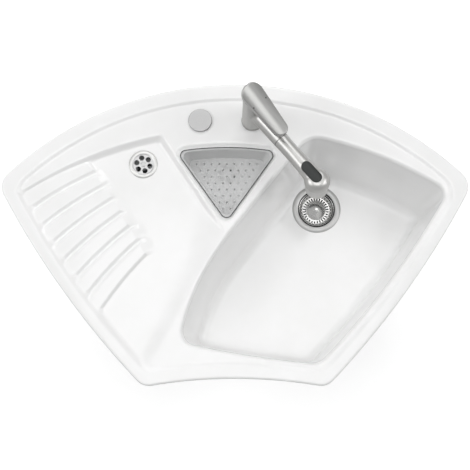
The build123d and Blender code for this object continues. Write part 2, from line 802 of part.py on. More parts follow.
# Along the spout: x sideways, y up, z outwards
spout_axis_dir = forward * math.cos(climb) + up * math.sin(climb)
spout_plane = Plane(origin=(tap_x, holes_y, spout_height), x_dir=tuple(sideways),
                    z_dir=tuple(spout_axis_dir))
# Across the joint under the lever: x forwards and down, y sideways, z off the joint
lever_normal = forward * math.sin(tilt) + up * math.cos(tilt)
lever_forward = forward * math.cos(tilt) - up * math.sin(tilt)
lever_plane = Plane(origin=(tap_x, holes_y, lever_gap_height), x_dir=tuple(lever_forward),
                    z_dir=tuple(lever_normal))
pivot_plane = lever_plane.offset(-pivot_depth)
pivot = pivot_plane.origin
dome_radius = math.hypot(pivot_depth, body_top_radius + 0.6)

with BuildPart() as tap_base:
    with BuildSketch(foot_side):
        with BuildLine():
            Polyline((hose_bore, base_low + base_height + post_height),
                     (body_bore_radius - 0.3, base_low + base_height + post_height),
                     (body_bore_radius - 0.3, base_low + base_height),
                     (base_radius - 0.8, base_low + base_height), (base_radius, base_low + 1.0),
                     (base_radius, base_low), (shank_radius, base_low),
                     (shank_radius, -shank_length), (hose_bore, -shank_length),
                     (hose_bore, base_low + base_height + post_height))
        make_face()
    revolve(axis=foot_axis)
finish(tap_base, "tap_base")

with BuildPart() as tap_base_seal:
    with BuildSketch(foot):
        Circle(base_radius - 1.0)
        Circle(tap_hole_radius, mode=Mode.SUBTRACT)
    extrude(amount=washer_thickness)
finish(tap_base_seal, "tap_base_seal")

with BuildPart() as swivel_washer:
    with BuildSketch(foot.offset(base_low + base_height)):
        Circle(body_radius - 0.6)
        Circle(body_bore_radius - 0.3, mode=Mode.SUBTRACT)
    extrude(amount=swivel_ring)
finish(swivel_washer, "swivel_washer")

with BuildPart() as tap_body:
    # Upright body, cut off aslant under the lever
    with BuildSketch(foot_side):
        with BuildLine():
            Polyline((0, body_low), (body_radius, body_low),
                     (body_top_radius + 0.2, spout_height + spout_radius),
                     (body_top_radius, lever_gap_height + 20), (0, lever_gap_height + 20),
                     (0, body_low))
        make_face()
    revolve(axis=foot_axis)
    split(bisect_by=lever_plane, keep=Keep.BOTTOM)
    # Spout, thinning towards the joint with the spray
    with BuildSketch(spout_plane.offset(8.0)):
        Circle(spout_root_radius)
    with BuildSketch(spout_plane.offset(seam_reach)):
        Circle(spout_radius)
    loft()
    joints = tap_body.edges().filter_by(GeomType.BSPLINE).sort_by(SortBy.LENGTH)
    fillet(joints[-1], junction_fillet)
    # Bores: for the post, the cartridge with its nut, and the spray's spigot
    with BuildSketch(foot.offset(body_low)):
        Circle(body_bore_radius)
    extrude(amount=post_height + 1.0, mode=Mode.SUBTRACT)
    with BuildSketch(foot.offset(body_low)):
        Circle(hose_bore)
    extrude(amount=spout_height - deck_level - body_low, mode=Mode.SUBTRACT)
    with BuildSketch(spout_plane.offset(-hose_radius)):
        Circle(hose_radius)
    extrude(amount=seam_reach, mode=Mode.SUBTRACT)
    with BuildSketch(lever_plane):
        Circle(cartridge_radius + 0.2)
    extrude(amount=-cartridge_sink - cartridge_length, mode=Mode.SUBTRACT)
    with BuildSketch(lever_plane):
        Circle(nut_radius + 0.2)
    extrude(amount=-cartridge_sink, mode=Mode.SUBTRACT)
    with BuildSketch(spout_plane.offset(seam_reach)):
        Circle(collar_radius)
    extrude(amount=-docking_depth - 2.0, mode=Mode.SUBTRACT)
finish(tap_body, "tap_body")

with BuildPart() as docking_collar:
    with BuildSketch(spout_plane.offset(seam_reach - docking_depth - 2.0)):
        Circle(collar_radius)
        Circle(docking_radius + docking_gap, mode=Mode.SUBTRACT)
    extrude(amount=docking_depth + 2.0 + seam_gap - seam_inner_gap)
finish(docking_collar, "docking_collar")

with BuildPart() as cartridge:
    with BuildSketch(lever_plane.offset(-cartridge_sink)):
        Circle(cartridge_radius)
    extrude(amount=-cartridge_length)
    fillet(cartridge.edges(), 0.8)
finish(cartridge, "cartridge")

with BuildPart() as cartridge_nut:
    with BuildSketch(lever_plane.offset(-cartridge_sink)):
        Circle(nut_radius)
        Circle(swing_radius, mode=Mode.SUBTRACT)
    extrude(amount=cartridge_sink - 0.4)
finish(cartridge_nut, "cartridge_nut")

# Domed ring between body and lever: a slice of a ball centred on the lever's pivot
with BuildPart() as dome_ring:
    with BuildSketch(lever_plane.offset(0.05)):
        Circle(body_top_radius)
        Circle(swing_radius, mode=Mode.SUBTRACT)
    extrude(amount=dome_radius)
    with BuildPart(Plane(origin=tuple(pivot)), mode=Mode.INTERSECT):
        Sphere(dome_radius)
finish(dome_ring, "dome_ring")

# Fork that turns on the cartridge, its pin, and the spindle that tips on the pin
tip_plane = Plane(origin=tuple(pivot), x_dir=tuple(lever_forward), z_dir=tuple(sideways))
fork_inside = spindle_side / 2 + 0.5
with BuildPart() as spindle_carrier:
    carrier_low = -cartridge_sink + 0.3
    with BuildSketch(lever_plane.offset(carrier_low)):
        Circle(carrier_radius)
    extrude(amount=carrier_height)
    with BuildSketch(lever_plane.offset(carrier_low)):
        with Locations((0, -fork_inside - carrier_height / 2), (0, fork_inside + carrier_height / 2)):
            Rectangle(spindle_side, carrier_height)
    extrude(amount=cartridge_sink - 0.3 - pivot_depth + fork_height)
    with BuildSketch(tip_plane):
        Circle(pin_radius)
    extrude(amount=carrier_radius, both=True, mode=Mode.SUBTRACT)
finish(spindle_carrier, "spindle_carrier")

with BuildPart() as spindle_pin:
    with BuildSketch(tip_plane):
        Circle(pin_radius)
    extrude(amount=fork_inside + carrier_height, both=True)
finish(spindle_pin, "spindle_pin")

with BuildPart() as lever_spindle:
    with BuildSketch(pivot_plane):
        Rectangle(spindle_side, spindle_side)
    extrude(amount=pivot_depth + spindle_length)
    with BuildSketch(tip_plane):
        Circle(spindle_side / 2)
    extrude(amount=spindle_side / 2, both=True)
    with BuildSketch(tip_plane):
        Circle(pin_radius + pin_gap)
    extrude(amount=spindle_side, both=True, mode=Mode.SUBTRACT)
finish(lever_spindle, "lever_spindle")

with BuildPart() as lever:
    with BuildSketch(lever_plane.offset(lever_gap)):
        with BuildLine() as ends:
            CenterArc((-lever_overhang, 0), lever_back_radius, 0, 360)
            CenterArc((lever_reach, 0), lever_front_radius, 0, 360)
        make_hull(ends.edges())
    extrude(amount=lever_thickness)
    # Crowned from side to side
    with BuildSketch(Plane(origin=tuple(lever_plane.origin), x_dir=tuple(sideways),
                           z_dir=tuple(lever_forward)).offset(-lever_back_radius - 5)):
        with Locations((0, lever_thickness + lever_gap - lever_crown_radius)):
            Circle(lever_crown_radius)
    extrude(amount=lever_reach + 2 * lever_back_radius + 10, mode=Mode.INTERSECT)
    # Hollow over the domed ring, and an arm that thins towards its end
    with Locations(tuple(pivot)):
        Sphere(dome_radius + lever_gap, mode=Mode.SUBTRACT)
    arm_end = lever_reach + lever_front_radius + 1
    with BuildSketch(Plane(origin=tuple(lever_plane.origin), x_dir=tuple(lever_forward),
                           z_dir=tuple(sideways))):
        with BuildLine():
            Polyline((body_top_radius + 3.0, 0), (arm_end, 0),
                     (arm_end, lever_thickness - lever_arm_thickness),
                     (body_top_radius + 3.0, lever_gap + 0.5), (body_top_radius + 3.0, 0))
        make_face()
    extrude(amount=lever_back_radius * 2, both=True, mode=Mode.SUBTRACT)
    crown = lever.faces().filter_by(GeomType.CYLINDER).sort_by(SortBy.AREA)[-1]
    fillet(crown.edges(), lever_edge_fillet)
    # Socket for the spindle
    with BuildSketch(lever_plane):
        Rectangle(spindle_side + 0.1, spindle_side + 0.1)
    extrude(amount=spindle_length + 0.1, mode=Mode.SUBTRACT)
finish(lever, "lever")

# =====================================================================
# Pull-out spray
# =====================================================================
head_plane = spout_plane.offset(head_reach)
with BuildPart() as spray_handle:
    with BuildSketch(spout_plane.offset(seam_reach + seam_gap)):
        Circle(spout_radius)
    with BuildSketch(spout_plane.offset(head_reach - 60.0)):
        Circle(barrel_radius)
    with BuildSketch(spout_plane.offset(head_reach)):
        Ellipse(barrel_radius + 4.0, barrel_radius - 0.5)
    loft()
    # Head: a bell that looks down, with a soft crown
    head_side = Plane(origin=tuple(head_plane.origin), x_dir=tuple(spout_axis_dir),
                      z_dir=tuple(sideways * -1))
    with BuildSketch(head_side):
        with BuildLine():
            crown_edge = (9.0, head_crown)
            widest = (head_radius, -head_crown * 0.3)
            lip = (mouth_radius, -head_drop)
            Line((0, head_crown), crown_edge)
            TangentArc(crown_edge, widest, tangent=(1, 0))
            Polyline(widest, lip, (0, -head_drop), (0, head_crown))
        make_face()
    revolve(axis=Axis(tuple(head_plane.origin), tuple(head_plane.y_dir)))
    seams = spray_handle.edges().filter_by(GeomType.BSPLINE)
    fillet(seams.filter_by(lambda edge: barrel_radius < edge.length < 3 * barrel_radius),
           head_fillet)
    # Spigot that docks in the spout
    with BuildSketch(spout_plane.offset(seam_reach + seam_gap)):
        Circle(docking_radius)
        Circle(docking_radius - 4.0, mode=Mode.SUBTRACT)
    extrude(amount=-docking_depth - seam_gap)
    # Pocket for the button and recess for the nozzle plate
    with BuildSketch(Plane(origin=tuple(spout_plane.offset(button_reach).origin),
                           x_dir=tuple(spout_axis_dir), z_dir=tuple(head_plane.y_dir))
                     .offset(button_floor)) as pocket:
        SlotOverall(button_length + 2 * fit_gap, button_width + 2 * fit_gap)
    extrude(amount=3 * barrel_radius, mode=Mode.SUBTRACT)
    with BuildSketch(Plane(origin=tuple(head_plane.origin), x_dir=tuple(spout_axis_dir),
                           z_dir=tuple(head_plane.y_dir)).offset(-head_drop)):
        Circle(nozzle_radius + 0.2)
    extrude(amount=4.0, mode=Mode.SUBTRACT)
finish(spray_handle, "spray_handle")

with BuildPart() as spray_button:
    with BuildSketch(Plane(origin=tuple(spout_plane.offset(button_reach).origin),
                           x_dir=tuple(spout_axis_dir), z_dir=tuple(head_plane.y_dir))
                     .offset(button_floor + button_travel + fit_gap)):
        SlotOverall(button_length, button_width)
    extrude(amount=barrel_radius)
    with BuildSketch(spout_plane.offset(button_reach - button_length)):
        Circle(barrel_radius + button_stand)
    extrude(amount=2 * button_length, mode=Mode.INTERSECT)
finish(spray_button, "spray_button")

with BuildPart() as nozzle_plate:
    with BuildSketch(Plane(origin=tuple(head_plane.origin), x_dir=tuple(spout_axis_dir),
                           z_dir=tuple(head_plane.y_dir)).offset(-head_drop)):
        Circle(nozzle_radius)
        for ring in range(1, nozzle_rings + 1):
            with PolarLocations(ring * nozzle_pitch, ring * 6):
                Circle(nozzle_hole_radius, mode=Mode.SUBTRACT)
    extrude(amount=3.9)
finish(nozzle_plate, "nozzle_plate")

# =====================================================================
# What holds the tap below the deck, and its water inlets
# =====================================================================
below = Plane(origin=(tap_x, holes_y, deck_underside))
with BuildPart() as clamp_washer:
    with BuildSketch(below):
        Circle(clamp_radius)
        Circle(shank_radius + fit_gap, mode=Mode.SUBTRACT)
    extrude(amount=-seal_thickness)
finish(clamp_washer, "clamp_washer")

with BuildPart() as clamp_plate:
    with BuildSketch(below.offset(-seal_thickness)):
        Circle(clamp_radius)
        Circle(shank_radius + fit_gap, mode=Mode.SUBTRACT)
    extrude(amount=-plate_thickness)
finish(clamp_plate, "clamp_plate")

with BuildPart() as shank_nut:
    with BuildSketch(below.offset(-seal_thickness - plate_thickness)):
        RegularPolygon(nut_across / 2, 6, major_radius=False)
        Circle(shank_radius + fit_gap, mode=Mode.SUBTRACT)
    extrude(amount=-nut_height)
finish(shank_nut, "shank_nut")

with BuildPart() as hose_guide:
    with BuildSketch(foot.offset(-shank_length)):
        Circle(shank_radius)
        with Locations((0, -guide_offset)):
            Circle(guide_bore, mode=Mode.SUBTRACT)
        with Locations((-inlet_spread, guide_offset - 1.0), (inlet_spread, guide_offset - 1.0)):
            Circle(inlet_radius + 0.1, mode=Mode.SUBTRACT)
    extrude(amount=-guide_height)
finish(hose_guide, "hose_guide")

for side, name in ((-1, "hot_inlet"), (1, "cold_inlet")):
    place = Plane(origin=(tap_x + side * inlet_spread, holes_y + guide_offset - 1.0,
                          deck_level - shank_length))
    with BuildPart() as inlet:
        with BuildSketch(place):
            Circle(inlet_radius)
            Circle(inlet_radius - 1.5, mode=Mode.SUBTRACT)
        extrude(amount=-inlet_length)
        with BuildSketch(place.offset(-inlet_length)):
            Circle(inlet_radius + 1.2)
            Circle(inlet_radius - 1.5, mode=Mode.SUBTRACT)
        extrude(amount=-5.0)
    finish(inlet, name)
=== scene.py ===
"""Corner kitchen sink: glazed moulding, wastes, colander and pull-out tap, dressed for the
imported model. Plan sizes are in millimetres and are turned to metres where meshes are made.
"""
import json
import math

import bmesh
import bpy
import numpy as np
from mathutils import Matrix, Vector
from mathutils.bvhtree import BVHTree
from mathutils.geometry import delaunay_2d_cdt


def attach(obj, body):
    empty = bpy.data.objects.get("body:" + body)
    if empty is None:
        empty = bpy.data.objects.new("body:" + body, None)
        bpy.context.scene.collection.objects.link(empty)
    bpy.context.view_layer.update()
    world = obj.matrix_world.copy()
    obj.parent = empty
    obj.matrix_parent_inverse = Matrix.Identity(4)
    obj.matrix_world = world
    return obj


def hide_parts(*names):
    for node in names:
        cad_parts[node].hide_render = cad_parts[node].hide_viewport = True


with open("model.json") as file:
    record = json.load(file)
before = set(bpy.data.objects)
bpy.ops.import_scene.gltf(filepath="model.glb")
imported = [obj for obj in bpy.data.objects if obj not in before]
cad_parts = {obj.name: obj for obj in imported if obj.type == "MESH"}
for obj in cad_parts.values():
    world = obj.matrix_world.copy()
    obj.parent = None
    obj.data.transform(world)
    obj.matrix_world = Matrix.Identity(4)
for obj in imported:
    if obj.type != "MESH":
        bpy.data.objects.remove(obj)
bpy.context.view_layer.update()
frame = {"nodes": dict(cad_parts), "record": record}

MM = 0.001
nodes = frame["nodes"]


# ---------------------------------------------------------------------------
# Camera, light and floor
# ---------------------------------------------------------------------------
PHOTO_WIDTH_PX = 470
FOCAL_PX = 904.94            # focal length that fits the photograph, in its pixels
SENSOR_MM = 36.0
CAMERA_AT = Vector((0.0, -0.0774, 2.0))
CAMERA_AIM = Vector((0.0, 0.3041, 0.0))
FLOOR_Z = -0.45
FLOOR_HALF = 6.0
FLOOR_GLOW = 0.42            # added for the rays that see the background

camera_data = bpy.data.cameras.new("camera")
camera_data.sensor_width = SENSOR_MM
camera_data.lens = FOCAL_PX / PHOTO_WIDTH_PX * SENSOR_MM
camera_data.clip_end = 20.0
camera = bpy.data.objects.new("camera", camera_data)
camera.location = CAMERA_AT
camera.rotation_euler = (CAMERA_AIM - CAMERA_AT).to_track_quat("-Z", "Y").to_euler()
bpy.context.scene.collection.objects.link(camera)
bpy.context.scene.camera = camera
bpy.context.scene.view_settings.view_transform = "Standard"


def area_light(name, at, aim, size, watts):
    """A soft square lamp that looks at a point."""
    data = bpy.data.lights.new(name, "AREA")
    data.shape = "RECTANGLE"
    data.size, data.size_y = size
    data.energy = watts
    lamp = bpy.data.objects.new(name, data)
    lamp.location = at
    lamp.rotation_euler = (Vector(aim) - Vector(at)).to_track_quat("-Z", "Y").to_euler()
    bpy.context.scene.collection.objects.link(lamp)


LAMPS_AIM = (0.0, 0.3, 0.0)
for lamp_name, lamp_at, lamp_size, lamp_watts in (
        ("back_lamp", (0.0, 2.75, 2.45), (2.8, 1.8), 35),
        ("overhead_lamp", (0.0, 0.3, 3.2), (1.8, 1.8), 21.5),
        ("left_lamp", (-2.5, 0.3, 2.2), (1.8, 1.8), 30),
        ("right_lamp", (2.5, 0.3, 2.2), (1.8, 1.8), 26)):
    area_light(lamp_name, lamp_at, LAMPS_AIM, lamp_size, lamp_watts)


# ---------------------------------------------------------------------------
# Shared effects
# ---------------------------------------------------------------------------
def effect_group(name, inputs, outputs):
    """An empty shader node group with named sockets, and its input and output nodes."""
    group = bpy.data.node_groups.new(name, "ShaderNodeTree")
    for label, kind, value in inputs:
        socket = group.interface.new_socket(label, in_out="INPUT", socket_type=kind)
        if value is not None:
            socket.default_value = value
    for label, kind in outputs:
        group.interface.new_socket(label, in_out="OUTPUT", socket_type=kind)
    return group, group.nodes.new("NodeGroupInput"), group.nodes.new("NodeGroupOutput")


def maths(tree, operation, *values, clamp=False):
    """A Math node whose inputs are sockets or plain numbers; gives its output."""
    node = tree.nodes.new("ShaderNodeMath")
    node.operation = operation
    node.use_clamp = clamp
    for place, value in zip(node.inputs, values):
        if isinstance(value, (int, float)):
            place.default_value = value
        else:
            tree.links.new(value, place)
    return node.outputs[0]


def noise(tree, vector, scale, detail=3.0, roughness=0.5):
    """A Noise Texture; gives its value."""
    node = tree.nodes.new("ShaderNodeTexNoise")
    node.inputs["Detail"].default_value = detail
    node.inputs["Roughness"].default_value = roughness
    if isinstance(scale, (int, float)):
        node.inputs["Scale"].default_value = scale
    else:
        tree.links.new(scale, node.inputs["Scale"])
    tree.links.new(vector, node.inputs["Vector"])
    return node.outputs["Fac"]


def around(tree, value, middle, swing):
    """A 0 to 1 value turned into middle plus or minus swing."""
    node = tree.nodes.new("ShaderNodeMapRange")
    tree.links.new(value, node.inputs["Value"])
    for label, sign in (("To Min", -1), ("To Max", 1)):
        tree.links.new(maths(tree, "MULTIPLY_ADD", swing, sign, middle), node.inputs[label])
    return node.outputs[0]


def split(tree, vector):
    """The separate X, Y and Z of a vector."""
    parts = tree.nodes.new("ShaderNodeSeparateXYZ")
    tree.links.new(vector, parts.inputs[0])
    return parts.outputs


def joined(tree, **parts):
    """A vector put together from sockets."""
    vector = tree.nodes.new("ShaderNodeCombineXYZ")
    for axis, value in parts.items():
        tree.links.new(value, vector.inputs[axis.upper()])
    return vector.outputs[0]


def reach_from_axis(tree, parts):
    """How far a place, given as separate coordinates, lies from the Z axis."""
    squares = [maths(tree, "MULTIPLY", parts[axis], parts[axis]) for axis in ("X", "Y")]
    return maths(tree, "SQRT", maths(tree, "ADD", *squares))


def backdrop_rays(tree):
    """1 for the rays that see the background: from the camera, and off or through the object."""
    seen = tree.nodes.new("ShaderNodeLightPath").outputs
    return maths(tree, "MAXIMUM", seen["Is Camera Ray"],
                 maths(tree, "MAXIMUM", seen["Is Glossy Ray"], seen["Is Transmission Ray"]))


WORLD_LIGHT, WORLD_SEEN = 0.3, 0.62
world = bpy.data.worlds.new("studio")
bpy.context.scene.world = world
world.use_nodes = True
background = world.node_tree.nodes["Background"]
background.inputs["Color"].default_value = (1.0, 1.0, 1.0, 1.0)
world.node_tree.links.new(
    maths(world.node_tree, "ADD", WORLD_LIGHT,
          maths(world.node_tree, "MULTIPLY", backdrop_rays(world.node_tree),
                WORLD_SEEN - WORLD_LIGHT)), background.inputs["Strength"])


def varied_group(name, laid_over, scale, swing, roughness, detail=3.0, more=()):
    """A group whose value varies round a middle, with noise laid over a vector of its own."""
    group, given, made = effect_group(
        name,
        (("Vector", "NodeSocketVector", None), ("Scale", "NodeSocketFloat", scale), *more,
         ("Middle", "NodeSocketFloat", 0.3), ("Swing", "NodeSocketFloat", swing)),
        (("Value", "NodeSocketFloat"), ("Height", "NodeSocketFloat")))
    pattern = noise(group, laid_over(group, given.outputs), given.outputs["Scale"], detail,
                    roughness)
    group.links.new(around(group, pattern, given.outputs["Middle"], given.outputs["Swing"]),
                    made.inputs["Value"])
    group.links.new(pattern, made.inputs["Height"])
    return group


def streaked(tree, given):
    """Coordinates drawn out in X, for streaks that are long in X and thin across it."""
    parts = split(tree, given["Vector"])
    return joined(tree, x=maths(tree, "MULTIPLY", parts["X"], given["Length"]), y=parts["Y"],
                  z=parts["Z"])


def ringed(tree, given):
    """Reach from the Z axis and height, for rings as a lathe or polishing wheel leaves them."""
    parts = split(tree, given["Vector"])
    return joined(tree, x=reach_from_axis(tree, parts), y=parts["Z"])


grain = varied_group("fine_grain", lambda tree, given: given["Vector"], 400.0, 0.05, 0.55, 4.0)
brushed = varied_group("brushed_along", streaked, 900.0, 0.08, 0.6,
                       more=(("Length", "NodeSocketFloat", 0.03),))
turned_finish = varied_group("turned_rings", ringed, 900.0, 0.08, 0.6)

# Ring mask: 0 inside a radius round the Z axis and 1 outside it, with a soft step
ring_mask, ring_in, ring_out = effect_group(
    "ring_mask",
    (("Vector", "NodeSocketVector", None), ("Radius", "NodeSocketFloat", 0.02),
     ("Softness", "NodeSocketFloat", 0.001)),
    (("Value", "NodeSocketFloat"),))
past_radius = maths(ring_mask, "SUBTRACT",
                    reach_from_axis(ring_mask, split(ring_mask, ring_in.outputs["Vector"])),
                    ring_in.outputs["Radius"])
ring_mask.links.new(
    maths(ring_mask, "ADD", maths(ring_mask, "DIVIDE", past_radius, ring_in.outputs["Softness"]),
          0.5, clamp=True), ring_out.inputs["Value"])


# ---------------------------------------------------------------------------
# Materials
# ---------------------------------------------------------------------------
def new_material(name, base, roughness, metallic=0.0):
    """A material with its Principled shader set to plain values, with its tree and shader."""
    material = bpy.data.materials.new(name)
    material.use_nodes = True
    tree = material.node_tree
    shader = tree.nodes["Principled BSDF"]
    shader.inputs["Base Color"].default_value = (*base, 1.0)
    shader.inputs["Roughness"].default_value = roughness
    shader.inputs["Metallic"].default_value = metallic
    return material, tree, shader


def effect(tree, group, centre=(0.0, 0.0, 0.0), turn=None, **values):
    """Place an effect group in a material, on Object coordinates moved and turned for it."""
    node = tree.nodes.new("ShaderNodeGroup")
    node.node_tree = group
    for label, value in values.items():
        node.inputs[label.capitalize()].default_value = value
    coordinates = tree.nodes.new("ShaderNodeTexCoord")
    mapping = tree.nodes.new("ShaderNodeMapping")
    mapping.vector_type = "TEXTURE"
    mapping.inputs["Location"].default_value = centre
    if turn is not None:
        mapping.inputs["Rotation"].default_value = turn
    tree.links.new(coordinates.outputs["Object"], mapping.inputs["Vector"])
    tree.links.new(mapping.outputs["Vector"], node.inputs["Vector"])
    return node


def relief(tree, shader, height, strength, distance):
    """Feed a height to the shader's normal."""
    bump = tree.nodes.new("ShaderNodeBump")
    bump.inputs["Strength"].default_value = strength
    bump.inputs["Distance"].default_value = distance
    tree.links.new(height, bump.inputs["Height"])
    tree.links.new(bump.outputs["Normal"], shader.inputs["Normal"])


def tinted(tree, shader, value, dark, light):
    """Colour that follows a value between 0 and 1."""
    ramp = tree.nodes.new("ShaderNodeValToRGB")
    ramp.color_ramp.elements[0].position = 0.3
    ramp.color_ramp.elements[0].color = (*dark, 1.0)
    ramp.color_ramp.elements[1].position = 0.7
    ramp.color_ramp.elements[1].color = (*light, 1.0)
    tree.links.new(value, ramp.inputs["Fac"])
    tree.links.new(ramp.outputs["Color"], shader.inputs["Base Color"])


def mixed(tree, shader, label, share, low, high, kind="RGBA"):
    """Feed a shader's input with low where share is 0 and high where it is 1."""
    mix = tree.nodes.new("ShaderNodeMix")
    mix.data_type = kind
    ends = [entry for entry in mix.inputs if entry.enabled]
    for entry, value in zip(ends, (share, low, high)):
        if isinstance(value, bpy.types.NodeSocket):
            tree.links.new(value, entry)
        else:
            entry.default_value = value
    tree.links.new(next(entry for entry in mix.outputs if entry.enabled), shader.inputs[label])


def glazed_ceramic():
    """White glaze: glossy over a faintly uneven body."""
    material, tree, shader = new_material("white_glaze", (0.9, 0.9, 0.9), 0.16)
    shader.inputs["IOR"].default_value = 1.5
    shader.inputs["Coat Weight"].default_value = 0.15
    shader.inputs["Coat Roughness"].default_value = 0.05
    cloud = effect(tree, grain, scale=14.0, middle=0.17, swing=0.04)
    tree.links.new(cloud.outputs["Value"], shader.inputs["Roughness"])
    tinted(tree, shader, cloud.outputs["Height"], (0.885, 0.885, 0.88), (0.915, 0.915, 0.915))
    ripple = effect(tree, grain, scale=45.0)
    relief(tree, shader, ripple.outputs["Height"], 0.05, 0.002)
    return material


def brushed_metal(name, base, middle, swing, centre, turn, scale=1500.0):
    """Metal brushed along one direction."""
    material, tree, shader = new_material(name, base, middle, 1.0)
    finish = effect(tree, brushed, centre, turn, scale=scale, length=0.03,
                    middle=middle, swing=swing)
    tree.links.new(finish.outputs["Value"], shader.inputs["Roughness"])
    tinted(tree, shader, finish.outputs["Height"], tuple(part * 0.86 for part in base), base)
    relief(tree, shader, finish.outputs["Height"], 0.12, 0.0002)
    return material


def turned_metal(name, base, middle, swing, centre, turn=None, scale=1400.0):
    """Metal with fine rings round its own axis."""
    material, tree, shader = new_material(name, base, middle, 1.0)
    finish = effect(tree, turned_finish, centre, turn, scale=scale, middle=middle, swing=swing)
    tree.links.new(finish.outputs["Value"], shader.inputs["Roughness"])
    tinted(tree, shader, finish.outputs["Height"], tuple(part * 0.88 for part in base), base)
    relief(tree, shader, finish.outputs["Height"], 0.1, 0.0002)
    return material


def waste_metal(name, centre, inner, outer, radius, inner_roughness=0.2, outer_roughness=0.45):
    """Turned metal with a polished inside and a satin flange beyond a radius."""
    material = turned_metal(name, outer, outer_roughness, 0.05, centre)
    tree = material.node_tree
    shader = tree.nodes["Principled BSDF"]
    mask = effect(tree, ring_mask, centre, radius=radius * MM, softness=0.6 * MM)
    for label, inside, kind in (("Base Color", (*inner, 1.0), "RGBA"),
                                ("Roughness", inner_roughness, "FLOAT")):
        mixed(tree, shader, label, mask.outputs["Value"], inside,
              shader.inputs[label].links[0].from_socket, kind)
    return material


def moulded_plastic(name, base, middle=0.45, swing=0.05, scale=900.0):
    """Matt plastic or rubber with a fine moulded grain."""
    material, tree, shader = new_material(name, base, middle)
    finish = effect(tree, grain, scale=scale, middle=middle, swing=swing)
    tree.links.new(finish.outputs["Value"], shader.inputs["Roughness"])
    tinted(tree, shader, finish.outputs["Height"], tuple(part * 0.85 for part in base), base)
    relief(tree, shader, finish.outputs["Height"], 0.15, 0.0002)
    return material


def clear_plastic(name="clear_plastic", tint=(0.93, 0.935, 0.935), face=0.4, edge=0.6):
    """Clear moulded plastic: see-through face on, and denser along its edges."""
    material, tree, shader = new_material(name, tint, 0.1)
    finish = effect(tree, grain, scale=220.0, middle=0.1, swing=0.05)
    tree.links.new(finish.outputs["Value"], shader.inputs["Roughness"])
    slant = tree.nodes.new("ShaderNodeLayerWeight")
    slant.inputs["Blend"].default_value = 0.35
    density = tree.nodes.new("ShaderNodeMapRange")
    density.inputs["To Min"].default_value = face
    density.inputs["To Max"].default_value = edge
    tree.links.new(slant.outputs["Facing"], density.inputs["Value"])
    tree.links.new(density.outputs[0], shader.inputs["Alpha"])
    return material


# The tap's own directions, in which its metal is brushed
SPOUT_HEADING = math.radians(-51.0)
SPOUT_RISE = math.radians(5.7)
LEVER_TILT = math.radians(11.3)
TAP_AT = (40.0, 570.0)
SPOUT_HEIGHT = 91.0
LEVER_GAP_HEIGHT = 169.0
forward = Vector((math.cos(SPOUT_HEADING), math.sin(SPOUT_HEADING), 0.0))
sideways = Vector((-math.sin(SPOUT_HEADING), math.cos(SPOUT_HEADING), 0.0))
upright = Vector((0.0, 0.0, 1.0))
spout_axis = forward * math.cos(SPOUT_RISE) + upright * math.sin(SPOUT_RISE)
lever_axis = forward * math.cos(LEVER_TILT) - upright * math.sin(LEVER_TILT)


def frame_at(origin, x_axis, y_axis):
    """Matrix that carries x and y onto two square directions, at an origin."""
    x_axis, y_axis = Vector(x_axis).normalized(), Vector(y_axis).normalized()
    z_axis = x_axis.cross(y_axis)
    matrix = Matrix((x_axis, y_axis, z_axis)).transposed().to_4x4()
    matrix.translation = Vector(origin)
    return matrix


# Along the spout, sideways and up; along the lever, sideways and off its joint
spout_frame = frame_at((*TAP_AT, SPOUT_HEIGHT), spout_axis, sideways)
lever_frame = frame_at((*TAP_AT, LEVER_GAP_HEIGHT), lever_axis, sideways)
spout_turn = spout_frame.to_euler()
lever_turn = lever_frame.to_euler()
MAIN_WASTE = (201.0, 404.0)
SMALL_WASTE = (-19.0, 468.0)
TRAY_WASTE = (-210.0, 470.0)
CAP_AT = (-80.0, 570.0)


def metres(point, z=0.0):
    """A plan point in millimetres as a place in metres."""
    return (point[0] * MM, point[1] * MM, z)


STEEL = (0.5, 0.497, 0.485)
GROOVE_SHADE_FROM, GROOVE_SHADE_TO = 39.6, 41.5      # radii of the band of painted shade in the dip inside the basket's rim, in millimetres
# Near-black colour of the painted shade in the basket's dip
GROOVE_SHADE_COLOUR = (0.05, 0.05, 0.05, 1.0)
spout_place = tuple(spout_frame.translation * MM)
lever_place = tuple(lever_frame.translation * MM)
tap_place = metres(TAP_AT)


def basket_steel():
    """Polished sheet of the basket, with painted shade: a near-black band down in the dip inside
    its rim.
    """
    material = turned_metal("basket_steel", (0.62, 0.62, 0.61), 0.2, 0.06, metres(MAIN_WASTE))
    tree = material.node_tree
    shader = tree.nodes["Principled BSDF"]
    bright = shader.inputs["Base Color"].links[0].from_socket
    past_inner, past_outer = (
        effect(tree, ring_mask, metres(MAIN_WASTE), radius=radius * MM, softness=softness * MM)
        for radius, softness in ((GROOVE_SHADE_FROM, 0.5), (GROOVE_SHADE_TO, 0.4)))
    groove_shade = maths(tree, "SUBTRACT", past_inner.outputs["Value"], past_outer.outputs["Value"],
                   clamp=True)
    # Painted shade: the band in the dip takes the near-black colour
    mixed(tree, shader, "Base Color", groove_shade, bright, GROOVE_SHADE_COLOUR)
    return material


